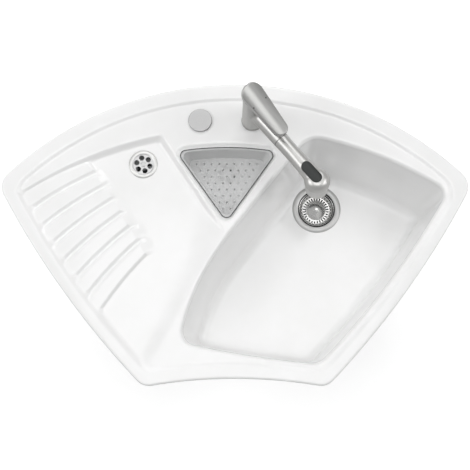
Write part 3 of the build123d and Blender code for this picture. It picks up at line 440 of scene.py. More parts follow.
finishes = {
    "glaze": glazed_ceramic(),
    "spout_steel": brushed_metal("spout_steel", STEEL, 0.36, 0.07, spout_place, spout_turn),
    # Painted shade: the lever wears a darker copy of the tap's brushed steel
    "shaded_lever_steel": brushed_metal("shaded_lever_steel", (0.36, 0.36, 0.352), 0.32, 0.06, lever_place,
                                 lever_turn),
    "foot_steel": turned_metal("foot_steel", STEEL, 0.26, 0.06, tap_place),
    "cap_steel": turned_metal("cap_steel", (0.42, 0.42, 0.42), 0.42, 0.05, metres(CAP_AT)),
    # Painted shade: the cup's inside, within the flange, is near black, standing in for the shade
    # down in the drain round and under the basket
    "main_waste_steel": waste_metal("main_waste_steel", metres(MAIN_WASTE), (0.05, 0.05, 0.05),
                                    (0.5, 0.5, 0.495), 45.6),
    "basket_steel": basket_steel(),
    "small_waste_steel": waste_metal("small_waste_steel", metres(SMALL_WASTE),
                                     (0.52, 0.52, 0.52), (0.6, 0.6, 0.59), 25.0, 0.35),
    "tray_waste_steel": waste_metal("tray_waste_steel", metres(TRAY_WASTE), (0.52, 0.52, 0.52),
                                    (0.62, 0.62, 0.61), 25.0, 0.35),
    "dark_mark": moulded_plastic("dark_mark", (0.02, 0.02, 0.02), 0.5),
    # Painted shade: a dark, denser clear plastic for the ring round the colander's edge
    "edge_shade_plastic": clear_plastic("edge_shade_plastic", (0.05, 0.055, 0.055), 0.75, 0.95),
    "zinc": brushed_metal("zinc_fixing", (0.58, 0.58, 0.6), 0.42, 0.08, tap_place, None, 700.0),
    "turned_brass": turned_metal("turned_brass", (0.72, 0.55, 0.28), 0.3, 0.07, tap_place),
    "seal_rubber": moulded_plastic("seal_rubber", (0.035, 0.035, 0.037), 0.6),
    "waste_plastic": moulded_plastic("waste_plastic", (0.62, 0.63, 0.64), 0.5, 0.05, 500.0),
    "slide_plastic": moulded_plastic("slide_plastic", (0.03, 0.03, 0.03), 0.5),
    "button_plastic": moulded_plastic("button_plastic", (0.014, 0.017, 0.016), 0.55, 0.06,
                                      1300.0),
    "clear_plastic": clear_plastic(),
}

worn_by = {
    "sink_body": "glaze",
    "tap_body": "spout_steel", "spray_handle": "spout_steel",
    "lever": "shaded_lever_steel", "tap_base": "foot_steel", "dome_ring": "foot_steel",
    "tap_hole_cap": "cap_steel",
    "strainer_cup": "main_waste_steel", "basket_strainer": "basket_steel",
    "basket_knob": "basket_steel",
    "small_bowl_waste_flange": "small_waste_steel", "small_bowl_waste_screw": "small_waste_steel",
    "tray_waste_flange": "tray_waste_steel", "tray_waste_screw": "tray_waste_steel",
    "spray_button": "button_plastic", "colander": "clear_plastic",
    "docking_collar": "dark_mark",
}
by_slot = {
    "ceramic": "glaze", "tap_metal": "spout_steel", "satin_steel": "foot_steel",
    "waste_steel": "basket_steel", "fixing_steel": "zinc", "brass_fixing": "turned_brass",
    "seal_rubber": "seal_rubber", "waste_plastic": "waste_plastic",
    "slide_plastic": "slide_plastic", "button_plastic": "button_plastic",
    "clear_plastic": "clear_plastic",
}
for part in frame["record"]["subparts"]:
    node = nodes[part["node"]]
    node.data.materials.clear()
    node.data.materials.append(finishes[worn_by.get(part["node"],
                                                    by_slot[part["material_slot"]])])


# ---------------------------------------------------------------------------
# Plan curves, in millimetres
# ---------------------------------------------------------------------------
STRAIGHT_RADIUS = 1.0e6      # a straight side is drawn as an arc this flat


def arc_side(start, end, bulge):
    """The circle (x, y, radius, outward sense) of a side that bows outwards by bulge.

    Sides run anticlockwise round their shape; a negative bulge bows inwards."""
    start, end = np.array(start, float), np.array(end, float)
    chord = end - start
    half = np.hypot(*chord) / 2
    radius = (half ** 2 + bulge ** 2) / (2 * abs(bulge))
    outward = np.array([chord[1], -chord[0]]) / (2 * half)
    sense = 1.0 if bulge > 0 else -1.0
    centre = (start + end) / 2 + outward * (bulge - sense * radius)
    return centre[0], centre[1], radius, sense


def bow_of(start, end, radius):
    """How far an arc of a radius rises above its chord."""
    half = math.dist(start, end) / 2
    return radius - math.sqrt(radius ** 2 - half ** 2)


def straight_side(start, end):
    """A straight side."""
    return arc_side(start, end, bow_of(start, end, STRAIGHT_RADIUS))


def circles_meet(first, second, near):
    """Where two circles (x, y, radius) cross, nearest to a point."""
    gap = np.array([second[0] - first[0], second[1] - first[1]])
    apart = np.hypot(*gap)
    along = (first[2] ** 2 - second[2] ** 2 + apart ** 2) / (2 * apart)
    across = math.sqrt(max(first[2] ** 2 - along ** 2, 0.0))
    unit = gap / apart
    turned = np.array([-unit[1], unit[0]])
    foot = np.array(first[:2]) + unit * along
    return min((foot + turned * across, foot - turned * across),
               key=lambda point: np.hypot(*(point - near)))


def sweep(centre, radius, start, end, steps):
    """Points on an arc from one point to another, the shorter way round."""
    first = math.atan2(start[1] - centre[1], start[0] - centre[0])
    turn = math.atan2(end[1] - centre[1], end[0] - centre[0]) - first
    turn = (turn + math.pi) % (2 * math.pi) - math.pi
    angles = first + turn * np.linspace(0.0, 1.0, steps, endpoint=False)
    return np.stack([centre[0] + radius * np.cos(angles),
                     centre[1] + radius * np.sin(angles)], axis=1)


def closed_loop(sides, corners, radii, inset=0.0, side_step=9.0, corner_steps=9):
    """Points round a shape of arcs, drawn in by inset, with its corners rounded.

    corners[i] and radii[i] belong to the corner where side i starts; a corner where two
    sides run smoothly into each other has no radius."""
    count = len(sides)
    moved = [(x, y, radius - sense * inset) for x, y, radius, sense in sides]
    round_centres, leaves, arrives = [], [], []
    for i in range(count):
        before, after = i - 1, i
        if radii[i] is None:
            hub = np.array(moved[after][:2])
            away = (np.array(corners[i], float) - hub) / math.dist(corners[i], hub)
            point = hub + away * moved[after][2]
            round_centres.append(point)
            arrives.append(point)
            leaves.append(point)
            continue
        inner = [(moved[k][0], moved[k][1], moved[k][2] - sides[k][3] * radii[i])
                 for k in (before, after)]
        centre = circles_meet(inner[0], inner[1], np.array(corners[i], float))
        touches = []
        for k in (before, after):
            hub = np.array(moved[k][:2])
            away = (centre - hub) / np.hypot(*(centre - hub))
            touches.append(hub + away * moved[k][2])
        round_centres.append(centre)
        arrives.append(touches[0])
        leaves.append(touches[1])
    points = []
    for i in range(count):
        following = (i + 1) % count
        if radii[i] is not None:
            points.append(sweep(round_centres[i], radii[i], arrives[i], leaves[i], corner_steps))
        start, end = leaves[i], arrives[following]
        steps = max(int(math.dist(corners[i], corners[following]) / side_step), 2)
        points.append(sweep(moved[i][:2], moved[i][2], start, end, steps))
    return np.concatenate(points)


def circle_loop(centre, radius, steps=48):
    """Points round a circle."""
    angles = np.linspace(0.0, 2 * math.pi, steps, endpoint=False)
    return np.stack([centre[0] + radius * np.cos(angles),
                     centre[1] + radius * np.sin(angles)], axis=1)


def signed_distance(points, loop, batch=2048, reach=40.0):
    """Distance from each point to a closed loop, negative inside it.

    A point further than reach outside the loop's box gets at least that reach."""
    outside_box = np.maximum(loop.min(axis=0) - points, points - loop.max(axis=0)).max(axis=1)
    result = np.maximum(outside_box, reach)
    near = np.nonzero(outside_box < reach)[0]
    start, end = loop, np.roll(loop, -1, axis=0)
    along = end - start
    length_sq = (along ** 2).sum(axis=1)
    for low in range(0, len(near), batch):
        chosen = near[low:low + batch]
        part = points[chosen, None, :]
        offset = part - start
        share = np.clip((offset * along).sum(axis=2) / length_sq, 0.0, 1.0)
        nearest = offset - share[..., None] * along
        distance = np.sqrt((nearest ** 2).sum(axis=2)).min(axis=1)
        above_start = start[:, 1] > part[..., 1]
        above_end = end[:, 1] > part[..., 1]
        slope = along[:, 0] * (part[..., 1] - start[:, 1]) / (along[:, 1] + 1e-12)
        crossed = (above_start != above_end) & (part[..., 0] < slope + start[:, 0])
        inside = crossed.sum(axis=1) % 2 == 1
        result[chosen] = np.where(inside, -distance, distance)
    return result


def smooth_max(a, b, width):
    """The larger of two heights, blended where they differ by less than width."""
    overlap = np.maximum(width - np.abs(a - b), 0.0) / width
    return np.maximum(a, b) + overlap ** 2 * width / 4


def smooth_min(a, b, width):
    """The smaller of two heights, blended where they differ by less than width."""
    return -smooth_max(-a, -b, width)


# Wastes and tap holes in the ceramic
WALL = 9.0
MAIN_FLANGE, MAIN_HOLE = 60.0, 46.5
SMALL_FLANGE, SMALL_HOLE, SMALL_SEAT = 33.0, 26.0, 1.2
TAP_HOLE = 17.5


# ---------------------------------------------------------------------------
# Ceramic moulding: one fine glazed skin, with its softened edges and fluted drainer
# ---------------------------------------------------------------------------
RIM_TOP, DECK = 12.0, 7.0
RIM_EDGE = 5.0               # rounding of the rim's outer edge
FLANK_START, FLANK_RUN = 27.5, 10.0          # slope from the rim down to the ledge
FLANK_IN_AT_BACK, FLANK_OUT_AT_SIDES = 4.5, 2.0
SEAT_WIDTH, PLATE_UNDERSIDE = 26.0, -3.0
OUTLINE_RADII = (42.0, 42.0, 36.0, 36.0)
outline_corners = ((538.0, 422.0), (-538.0, 422.0), (-200.0, -34.0), (200.0, -34.0))
SIDE_RADIUS = 2017.0

MAIN_FLOOR = -183.0
BOWL_EDGE = 10.0             # rounding where the ledge turns down into the main bowl
BOWL_DRAFT, BOWL_SHIFT = 26.0, (3.0, -15.0)
BOWL_FLOOR_ROUND = 20.0
BOWL_TOP_RADII = (35.0, 45.0, 28.0, 52.0, None)
BOWL_FLOOR_RADII = (28.0, 34.0, 26.0, 34.0, None)
bowl_corners = ((-124.0, 63.0), (184.0, 15.0), (484.0, 405.0), (169.0, 537.0), (-12.0, 309.0))

SMALL_FLOOR = -85.0
SMALL_DRAFT, SMALL_ROUND, SMALL_SHELL_ROUND = 4.0, 5.0, 6.0
SMALL_RADIUS_INSIDE, SMALL_RADIUS_OUTSIDE = 16.0, 14.0
LEDGE_LEVEL, LEDGE_WIDTH, COLANDER_GAP = 2.0, 2.6, 0.6
COVE_WIDTH, COVE_WIDTH_RIGHT = 11.0, 5.0
small_corners = ((98.0, 498.0), (-136.0, 498.0), (-19.0, 332.0))

TRAY_FALL = math.tan(math.radians(1.2))
TRAY_LEVEL_AT_FRONT = 4.35
TRAY_BACK = (0.0, -296.0, 850.0, 1.0)
TRAY_SIDE_INSET = 34.0
TRAY_RUNS = {"back": 0.9, "slant": 1.1, "front": 6.0, "side": 1.3}
tray_slant = ((-20.7, 306.7), (-169.7, 541.7))
tray_front = ((-200.0, -13.0), (-20.7, 306.7))
TRAY_UNDERSIDE = -18.5
TRAY_SEAT_LEVEL = TRAY_LEVEL_AT_FRONT - TRAY_WASTE[1] * TRAY_FALL - SMALL_SEAT
hump_front = ((-222.0, 0.0), (-42.0, 320.0))     # sides of the tray's hump under the plate
hump_slant = ((-25.0, 309.0), (-174.0, 544.0))
HUMP_RADIUS, HUMP_DRAFT = 26.0, 4.0

RIB_COUNT, RIB_HEIGHT, RIB_BOW = 7, 6.0, 5.0
RIB_BACK_FLANK, RIB_FRONT_FLANK, RIB_GROOVE, RIB_END = 8.0, 8.0, 1.5, 9.0
RIB_OUTER_PITCH, RIB_INNER_PITCH = 47.6, 37.1
rib_first_inner, RIB_INNER_ANGLE, RIB_FIRST_HEIGHT = (-312.0, 452.0), -54.7, 363.0
rib_limit = ((-65.0, 45.0), (-330.0, 475.0))     # no rib reaches to the right of this line

outline_sides = [arc_side(outline_corners[0], outline_corners[1], 235.0),
                 arc_side(outline_corners[1], outline_corners[2],
                          bow_of(outline_corners[1], outline_corners[2], SIDE_RADIUS)),
                 arc_side(outline_corners[2], outline_corners[3], -18.0),
                 arc_side(outline_corners[3], outline_corners[0],
                          bow_of(outline_corners[3], outline_corners[0], SIDE_RADIUS))]
bowl_sides = [arc_side(start, end, bow_of(start, end, radius)) for start, end, radius in (
    (bowl_corners[0], bowl_corners[1], 2600.0), (bowl_corners[1], bowl_corners[2], 1970.0),
    (bowl_corners[2], bowl_corners[3], 858.0), (bowl_corners[3], bowl_corners[4], 1.0e6),
    (bowl_corners[4], bowl_corners[0], 544.0))]
small_sides = [arc_side(small_corners[0], small_corners[1], 10.0),
               straight_side(small_corners[1], small_corners[2]),
               straight_side(small_corners[2], small_corners[0])]


def outline_loop(inset):
    """The sink's outline, drawn in."""
    radii = [max(radius - inset, 12.0) for radius in OUTLINE_RADII]
    return closed_loop(outline_sides, outline_corners, radii, inset)


def bowl_loop(level, grow=0.0, turned_in=0.0):
    """The main bowl's wall at a level, grown outwards, or drawn in where it meets the floor."""
    share = (DECK - level) / (DECK - MAIN_FLOOR)
    radii = [None if top is None else max(top + (low - top) * share + grow - turned_in, 5.0)
             for top, low in zip(BOWL_TOP_RADII, BOWL_FLOOR_RADII)]
    loop = closed_loop(bowl_sides, bowl_corners, radii, BOWL_DRAFT * share - grow + turned_in, 6.0)
    return loop + np.array(BOWL_SHIFT) * share


def small_loop(grow, radius=14.0):
    """The colander's triangle, grown outwards."""
    return closed_loop(small_sides, small_corners, [max(radius + grow, 4.0)] * 3, -grow, 5.0, 7)


def inside_by(points, side):
    """How far inside one side of a shape each point lies."""
    x, y, radius, sense = side
    return sense * (radius - np.hypot(points[:, 0] - x, points[:, 1] - y))


def left_of(points, line):
    """How far to the left of a straight line each point lies."""
    start, along = np.array(line[0]), np.array(line[1]) - np.array(line[0])
    normal = np.array([-along[1], along[0]]) / np.hypot(*along)
    return (points - start) @ normal


def eased(share):
    """0 to 1 with a level start and end."""
    share = np.clip(share, 0.0, 1.0)
    return share * share * (3 - 2 * share)


def rib_ends(number):
    """Outer and inner end of a rib line, for any number between the first and the last."""
    x, y, radius, _ = outline_sides[1]
    reach = radius - FLANK_START - FLANK_RUN
    first = np.arcsin((RIB_FIRST_HEIGHT - y) / reach)
    turn = first - (number - 1) * RIB_OUTER_PITCH / reach
    outer = np.stack([x - reach * np.cos(turn), y + reach * np.sin(turn)], axis=-1)
    slide = (number - 1) * RIB_INNER_PITCH
    angle = math.radians(RIB_INNER_ANGLE)
    inner = np.stack([rib_first_inner[0] + slide * math.cos(angle),
                      rib_first_inner[1] + slide * math.sin(angle)], axis=-1)
    return outer, inner


def rib_point(number, share):
    """The place that lies a share of the way along a bowed rib line."""
    outer, inner = rib_ends(number)
    along = inner - outer
    left = np.stack([-along[:, 1], along[:, 0]], axis=1) / np.hypot(*along.T)[:, None]
    bow = RIB_BOW * 4 * share * (1 - share)
    return outer + along * share[:, None] + left * bow[:, None]


def rib_heights(points):
    """Height of the ribs over the tray's floor."""
    number = np.full(len(points), RIB_COUNT / 2)
    share = np.full(len(points), 0.5)
    nudge = 1e-3
    for _ in range(8):
        here = rib_point(number, share)
        by_number = (rib_point(number + nudge, share) - here) / nudge
        by_share = (rib_point(number, share + nudge) - here) / nudge
        miss = points - here
        det = by_number[:, 0] * by_share[:, 1] - by_number[:, 1] * by_share[:, 0]
        number = number + (miss[:, 0] * by_share[:, 1] - miss[:, 1] * by_share[:, 0]) / det
        share = share + (by_number[:, 0] * miss[:, 1] - by_number[:, 1] * miss[:, 0]) / det
        number, share = np.clip(number, -3, RIB_COUNT + 3), np.clip(share, -1.5, 2.5)
    pitch = RIB_OUTER_PITCH + (RIB_INNER_PITCH - RIB_OUTER_PITCH) * share
    past_line = (number - np.floor(number)) * pitch
    back = eased((past_line - RIB_GROOVE) / RIB_BACK_FLANK)
    front = eased((pitch - past_line) / RIB_FRONT_FLANK)
    outer, inner = rib_ends(number)
    length = np.hypot(*(inner - outer).T)
    end = eased((1 - share) * length / RIB_END)
    among = (number > 0) & (number < RIB_COUNT) & (share > -0.6)
    return np.where(among, RIB_HEIGHT * back * front * end, 0.0)


bowl_wall = bowl_loop(DECK - BOWL_EDGE)
colander_line = small_loop(0.0)


def top_heights(points):
    """Height of the glazed top over a plan point."""
    back = inside_by(points, outline_sides[0]) - FLANK_IN_AT_BACK
    left = inside_by(points, outline_sides[1]) + FLANK_OUT_AT_SIDES
    front = inside_by(points, outline_sides[2])
    right = inside_by(points, outline_sides[3]) + FLANK_OUT_AT_SIDES
    inset = smooth_min(smooth_min(back, left, 30.0), smooth_min(front, right, 30.0), 30.0)
    rim = RIM_TOP - (RIM_TOP - DECK) * eased((inset - FLANK_START) / FLANK_RUN)

    floor = TRAY_LEVEL_AT_FRONT - points[:, 1] * TRAY_FALL + rib_heights(points)
    walls = smooth_max(
        smooth_max(DECK - inside_by(points, TRAY_BACK) / TRAY_RUNS["back"],
                   DECK - left_of(points, tray_slant) / TRAY_RUNS["slant"], 8.0),
        smooth_max(DECK - left_of(points, tray_front) / TRAY_RUNS["front"],
                   DECK - (smooth_min(left, front, 20.0) - TRAY_SIDE_INSET) / TRAY_RUNS["side"],
                   4.0), 4.0)
    height = smooth_min(rim, smooth_max(floor, walls, 4.0), 2.5)

    outside = signed_distance(points, colander_line) - COLANDER_GAP
    to_right = eased(left_of(points, (small_corners[0], small_corners[2])) / -20.0 + 0.5)
    width = COVE_WIDTH + (COVE_WIDTH_RIGHT - COVE_WIDTH) * (1 - to_right)
    cove = LEDGE_LEVEL + (DECK - LEDGE_LEVEL) * eased(outside / width)
    height = smooth_min(height, cove + np.maximum(outside - width, 0.0) * 0.6, 1.0)

    away = signed_distance(points, bowl_wall)
    away = np.where(np.abs(away) < 0.02, 0.0, away)
    turned = np.clip(BOWL_EDGE - away, 0.0, BOWL_EDGE)
    edge = DECK - BOWL_EDGE + np.sqrt(BOWL_EDGE ** 2 - turned ** 2)
    return smooth_min(height, edge + np.maximum(away - BOWL_EDGE, 0.0) ** 2 / 16.0, 0.8)


def hex_points(step, low, high):
    """Points of a honeycomb over a box."""
    lines = []
    for k, y in enumerate(np.arange(low[1], high[1], step * math.sqrt(3) / 2)):
        across = np.arange(low[0] + (k % 2) * step / 2, high[0], step)
        lines.append(np.column_stack([across, np.full(len(across), y)]))
    return np.concatenate(lines)


class Skin:
    """Vertices and faces of a closed shell, in millimetres."""

    def __init__(self):
        self.points, self.faces, self.count = [], [], 0

    def add(self, points, faces):
        """Take in points and the faces between them."""
        self.points.append(np.asarray(points, float))
        self.faces.extend([tuple(corner + self.count for corner in face) for face in faces])
        self.count += len(points)

    def wall(self, loops, flip=False, capped=False):
        """Join loops (x, y, z), one after the other, with quads, and close both ends."""
        size = len(loops[0])
        faces = []
        for row in range(len(loops) - 1):
            for k in range(size):
                following = (k + 1) % size
                face = (row * size + k, row * size + following,
                        (row + 1) * size + following, (row + 1) * size + k)
                faces.append(face[::-1] if flip else face)
        if capped:
            faces += [tuple(range(size)), tuple(range((len(loops) - 1) * size,
                                                      len(loops) * size))[::-1]]
        self.add(np.concatenate(loops), faces)

    def sheet(self, outer, holes, loops, free, heights, flip=False):
        """Fill a plan shape with holes; loops and free points refine it."""
        rings = [outer, *holes, *loops]
        edges, start = [], 0
        for ring in rings:
            size = len(ring)
            edges += [(start + k, start + (k + 1) % size) for k in range(size)]
            start += size
        cloud = np.concatenate([*rings, free]) if len(free) else np.concatenate(rings)
        made = delaunay_2d_cdt([Vector(point) for point in cloud], edges, [], 0, 1e-5)
        plan = np.array([tuple(point) for point in made[0]])
        faces = np.array(made[2])
        on_ring = np.array([min(given) < start for given in made[3]])
        doubtful = np.nonzero(on_ring[faces].all(axis=1))[0]
        middles = plan[faces[doubtful]].mean(axis=1)
        keep = np.ones(len(faces), bool)
        keep[doubtful] = signed_distance(middles, outer) < 0
        for hole in holes:
            keep[doubtful] &= signed_distance(middles, hole) > 0
        spans = plan[faces[:, 1:]] - plan[faces[:, :1]]
        area = np.abs(spans[:, 0, 0] * spans[:, 1, 1] - spans[:, 0, 1] * spans[:, 1, 0])
        faces = faces[keep & (area > 1e-3)]
        if flip:
            faces = faces[:, ::-1]
        self.add(np.column_stack([plan, heights(plan)]), [tuple(face) for face in faces.tolist()])


    def flat(self, outer, holes, level, free=np.zeros((0, 2)), flip=False):
        """Fill a plan shape with holes at one level."""
        self.sheet(outer, holes, [], free, lambda plan: np.full(len(plan), level), flip)


def raised(loop, level):
    """A plan loop at a level, or with a height for each point."""
    return np.column_stack([loop, np.broadcast_to(level, len(loop))])


def scooped(loop, centre, radius, floor):
    """Lower a raised loop's points where the floor's rounding would cover a waste's flange."""
    reach = np.hypot(*(loop[:, :2] - np.array(centre)).T) - radius
    loop[:, 2] = np.minimum(loop[:, 2], floor + np.maximum(reach, 0.0) ** 2 / 6.0)
    return loop


def rounded_foot(radius, floor, degrees, loop_at):
    """Raised loops of the rounding that leads from a wall into a floor.

    loop_at gives the plan loop for a level and how far it is drawn in."""
    loops = []
    for turn in np.radians(degrees):
        level = floor + radius * (1 - math.sin(turn))
        loops.append(raised(loop_at(level, radius * (1 - math.cos(turn))), level))
    return loops


# How finely the glaze is divided, in millimetres
RIM_INSETS = (9.0, 14.0, 19.0, 23.0, 26.0, 28.0, 30.0, 32.0, 34.0, 36.0, 38.0, 40.0, 42.0, 45.0)
EDGE_DEGREES = (4, 12, 22, 34, 46, 58, 70, 80, 90)
COVE_GROWS = (1.2, 2.6, 4.2, 6.0, 7.8)
FINE_STEP, FINE_BOX = 2.6, ((-520.0, -10.0), (130.0, 575.0))
FINE_FROM, COARSE_FROM = 46.0, 49.0          # inset from the outline
FINE_WALL_MIDDLE, FINE_WALL_REACH, FINE_WALLS_BEYOND = 8.0, 22.0, 120.0
FINE_COVE_MIDDLE, FINE_COVE_REACH = 10.0, 9.0
COARSE_STEP, COARSE_BOX = 11.0, ((-540.0, -40.0), (540.0, 660.0))
CELL, CLEAR_OF_RINGS = 8.0, 1.4
FLOOR_STEP, FLOOR_BOX = 14.0, ((-120.0, 0.0), (470.0, 520.0))
CLEAR_OF_FLOOR_LINE, CLEAR_OF_HOLE = -7.0, 6.0
SEAT_ROOM = 1.0                              # round a waste's flange
NEAR_PLATE = 5.5                             # thickness of the bowl's wall under the plate
NEAR_PLATE_DEPTH = 25.0                      # where it has grown to its full thickness


def refining_points(rings):
    """Free points of the glazed top: close together at the ribs, walls and coves."""
    near_rim = np.concatenate([outline_loop(inset) for inset in RIM_INSETS])
    fine = hex_points(FINE_STEP, *FINE_BOX)
    inset = np.minimum(inside_by(fine, outline_sides[1]), inside_by(fine, outline_sides[2]))
    nearest = np.minimum.reduce([inside_by(fine, TRAY_BACK), left_of(fine, tray_slant),
                                 left_of(fine, tray_front)])
    at_ribs = (left_of(fine, rib_limit) > 0) & (nearest > 0)
    at_walls = ((np.abs(nearest - FINE_WALL_MIDDLE) < FINE_WALL_REACH)
                & (fine[:, 1] > FINE_WALLS_BEYOND))
    at_cove = np.abs(signed_distance(fine, colander_line) - FINE_COVE_MIDDLE) < FINE_COVE_REACH
    fine = fine[(inset > FINE_FROM) & (at_ribs | at_walls | at_cove)]
    coarse = hex_points(COARSE_STEP, *COARSE_BOX)
    coarse = coarse[signed_distance(coarse, outline_loop(COARSE_FROM)) < 0]
    taken = set(map(tuple, np.round(fine / CELL).astype(int)))
    steps = [(i, j) for i in (-1, 0, 1) for j in (-1, 0, 1)]
    apart = np.array([not any((x + i, y + j) in taken for i, j in steps)
                      for x, y in np.round(coarse / CELL).astype(int)])
    points = np.concatenate([near_rim, fine, coarse[apart]])
    for ring in rings:
        points = points[signed_distance(points, ring) > CLEAR_OF_RINGS]
    return points


def glazed_top(skin, tap_holes, tray_seat):
    """The whole top from the rim inwards, and the rim's rounded edge and side."""
    rim_line = outline_loop(RIM_EDGE)
    edge_loops = [bowl_loop(DECK - BOWL_EDGE, BOWL_EDGE * (1 - math.cos(turn)))
                  for turn in np.radians(EDGE_DEGREES)]
    cove_loops = [small_loop(COLANDER_GAP + grow) for grow in COVE_GROWS]
    free = refining_points((edge_loops[-1], cove_loops[-1], tray_seat, *tap_holes))
    seat_rim = circle_loop(TRAY_WASTE, SMALL_FLANGE + SEAT_ROOM + 0.8, 72)
    skin.sheet(rim_line, [bowl_wall, small_loop(COLANDER_GAP), tray_seat, *tap_holes],
               [*edge_loops, *cove_loops, seat_rim], free, top_heights)
    sides = [raised(outline_loop(RIM_EDGE * (1 - math.sin(turn))),
                    RIM_TOP - RIM_EDGE * (1 - math.cos(turn)))
             for turn in np.radians(range(0, 91, 15))]
    sides[0][:, 2] = top_heights(rim_line)
    skin.wall([*sides, raised(outline_loop(0.0), 0.0)], flip=True)


def main_bowl(skin):
    """The main bowl, inside and outside; gives the loop where it meets the plate."""
    walls = [raised(bowl_loop(level), level)
             for level in np.linspace(DECK - BOWL_EDGE, MAIN_FLOOR + BOWL_FLOOR_ROUND, 14)]
    walls[0][:, 2] = top_heights(bowl_wall)
    walls += rounded_foot(BOWL_FLOOR_ROUND, MAIN_FLOOR, range(10, 91, 10),
                          lambda level, drawn: bowl_loop(level, 0.0, drawn))
    skin.wall([walls[0], *(scooped(wall, MAIN_WASTE, MAIN_FLANGE + SEAT_ROOM, MAIN_FLOOR)
                           for wall in walls[1:])])
    hole = circle_loop(MAIN_WASTE, MAIN_HOLE, 96)
    floor_line = walls[-1][:, :2]
    free = hex_points(FLOOR_STEP, *FLOOR_BOX)
    free = free[(signed_distance(free, floor_line) < CLEAR_OF_FLOOR_LINE)
                & (signed_distance(free, hole) > CLEAR_OF_HOLE)]
    skin.flat(floor_line, [hole], MAIN_FLOOR, free)
    base = MAIN_FLOOR - WALL
    skin.wall([raised(hole, MAIN_FLOOR), raised(hole, base)])
    shell = []
    for level in np.linspace(PLATE_UNDERSIDE, base + WALL, 10):
        grown = min(-level / NEAR_PLATE_DEPTH, 1.0)
        shell.append(raised(bowl_loop(level, NEAR_PLATE + (WALL - NEAR_PLATE) * grown), level))
    shell += rounded_foot(WALL, base, (20, 45, 70, 90),
                          lambda level, drawn: bowl_loop(level, WALL, drawn))
    skin.wall(shell, flip=True)
    base_line = shell[-1][:, :2]
    skin.flat(base_line, [hole], base,
              free[signed_distance(free, base_line) < CLEAR_OF_FLOOR_LINE], flip=True)
    return shell[0][:, :2]


def small_bowl(skin):
    """The small bowl, inside and outside; gives the loop where it meets the plate."""
    cove_line = small_loop(COLANDER_GAP)
    walls = [raised(cove_line, top_heights(cove_line)), raised(small_loop(-1.8), LEDGE_LEVEL),
             raised(small_loop(-2.35), LEDGE_LEVEL - 0.25),
             raised(small_loop(-LEDGE_WIDTH), LEDGE_LEVEL - 0.8)]
    for level in np.linspace(LEDGE_LEVEL - 8.0, SMALL_FLOOR + SMALL_ROUND, 8):
        drawn = SMALL_DRAFT * (LEDGE_LEVEL - level) / (LEDGE_LEVEL - SMALL_FLOOR)
        walls.append(raised(small_loop(-LEDGE_WIDTH - drawn, SMALL_RADIUS_INSIDE), level))
    walls += rounded_foot(SMALL_ROUND, SMALL_FLOOR, (20, 40, 60, 75, 90), lambda level, drawn:
                          small_loop(-LEDGE_WIDTH - SMALL_DRAFT - drawn, SMALL_RADIUS_INSIDE))
    skin.wall([walls[0], *(scooped(wall, SMALL_WASTE, SMALL_FLANGE + SEAT_ROOM, SMALL_FLOOR)
                           for wall in walls[1:])])
    hole = circle_loop(SMALL_WASTE, SMALL_HOLE, 72)
    skin.flat(walls[-1][:, :2], [hole], SMALL_FLOOR)
    base = SMALL_FLOOR - WALL
    skin.wall([raised(hole, SMALL_FLOOR), raised(hole, base)])
    shell = []
    for level in np.linspace(PLATE_UNDERSIDE, base + SMALL_SHELL_ROUND, 6):
        drawn = SMALL_DRAFT * (PLATE_UNDERSIDE - level) / (PLATE_UNDERSIDE - base)
        shell.append(raised(small_loop(WALL - LEDGE_WIDTH - drawn, SMALL_RADIUS_OUTSIDE), level))
    shell += rounded_foot(
        SMALL_SHELL_ROUND, base, (30, 60, 90), lambda level, drawn:
        small_loop(WALL - LEDGE_WIDTH - SMALL_DRAFT - drawn, SMALL_RADIUS_OUTSIDE))
    skin.wall(shell, flip=True)
    skin.flat(shell[-1][:, :2], [hole], base, flip=True)
    return shell[0][:, :2]


def hump_loops():
    """The tray's hump under the plate: its line on the plate and at its lower face."""
    x, y, radius, _ = outline_sides[1]
    side = (x, y, radius - TRAY_SIDE_INSET, 1.0)
    front, slant = straight_side(*hump_front), straight_side(*hump_slant)
    corners = (circles_meet(front, side, np.array((-215.0, 20.0))),
               circles_meet(front, slant, np.array((-36.0, 320.0))),
               circles_meet(slant, TRAY_BACK, np.array((-170.0, 540.0))),
               circles_meet(side, TRAY_BACK, np.array((-488.0, 400.0))))
    sides = [front, slant, TRAY_BACK, side]
    return (closed_loop(sides, corners, [HUMP_RADIUS] * 4),
            closed_loop(sides, corners, [HUMP_RADIUS - HUMP_DRAFT] * 4, HUMP_DRAFT))


def underside(skin, bowl_lines, tap_holes, tray_hole):
    """Seat on the worktop, the plate inside it and the tray's hump."""
    hump, hump_low = hump_loops()
    seat_line, plate_line = outline_loop(SEAT_WIDTH), outline_loop(SEAT_WIDTH + 0.6)
    skin.flat(outline_loop(0.0), [seat_line], 0.0, flip=True)
    skin.wall([raised(seat_line, 0.0), raised(plate_line, PLATE_UNDERSIDE)])
    skin.flat(plate_line, [*bowl_lines, hump, *tap_holes], PLATE_UNDERSIDE, flip=True)
    skin.wall([raised(hump, PLATE_UNDERSIDE), raised(hump_low, TRAY_UNDERSIDE)], flip=True)
    skin.flat(hump_low, [tray_hole], TRAY_UNDERSIDE, flip=True)


def ceramic_skin():
    """The whole moulding: glazed top, both bowls, underside and every hole."""
    skin = Skin()
    tap_holes = [circle_loop(centre, TAP_HOLE, 48) for centre in (TAP_AT, CAP_AT)]
    tray_seat = circle_loop(TRAY_WASTE, SMALL_FLANGE + SEAT_ROOM, 72)
    tray_hole = circle_loop(TRAY_WASTE, SMALL_HOLE, 72)
    glazed_top(skin, tap_holes, tray_seat)
    bowl_lines = [main_bowl(skin), small_bowl(skin)]
    underside(skin, bowl_lines, tap_holes, tray_hole)
    for hole in tap_holes:
        skin.wall([raised(hole, top_heights(hole)), raised(hole, PLATE_UNDERSIDE)])
    skin.wall([raised(tray_seat, top_heights(tray_seat)), raised(tray_seat, TRAY_SEAT_LEVEL),
               raised(tray_hole, TRAY_SEAT_LEVEL), raised(tray_hole, TRAY_UNDERSIDE)])
    return skin


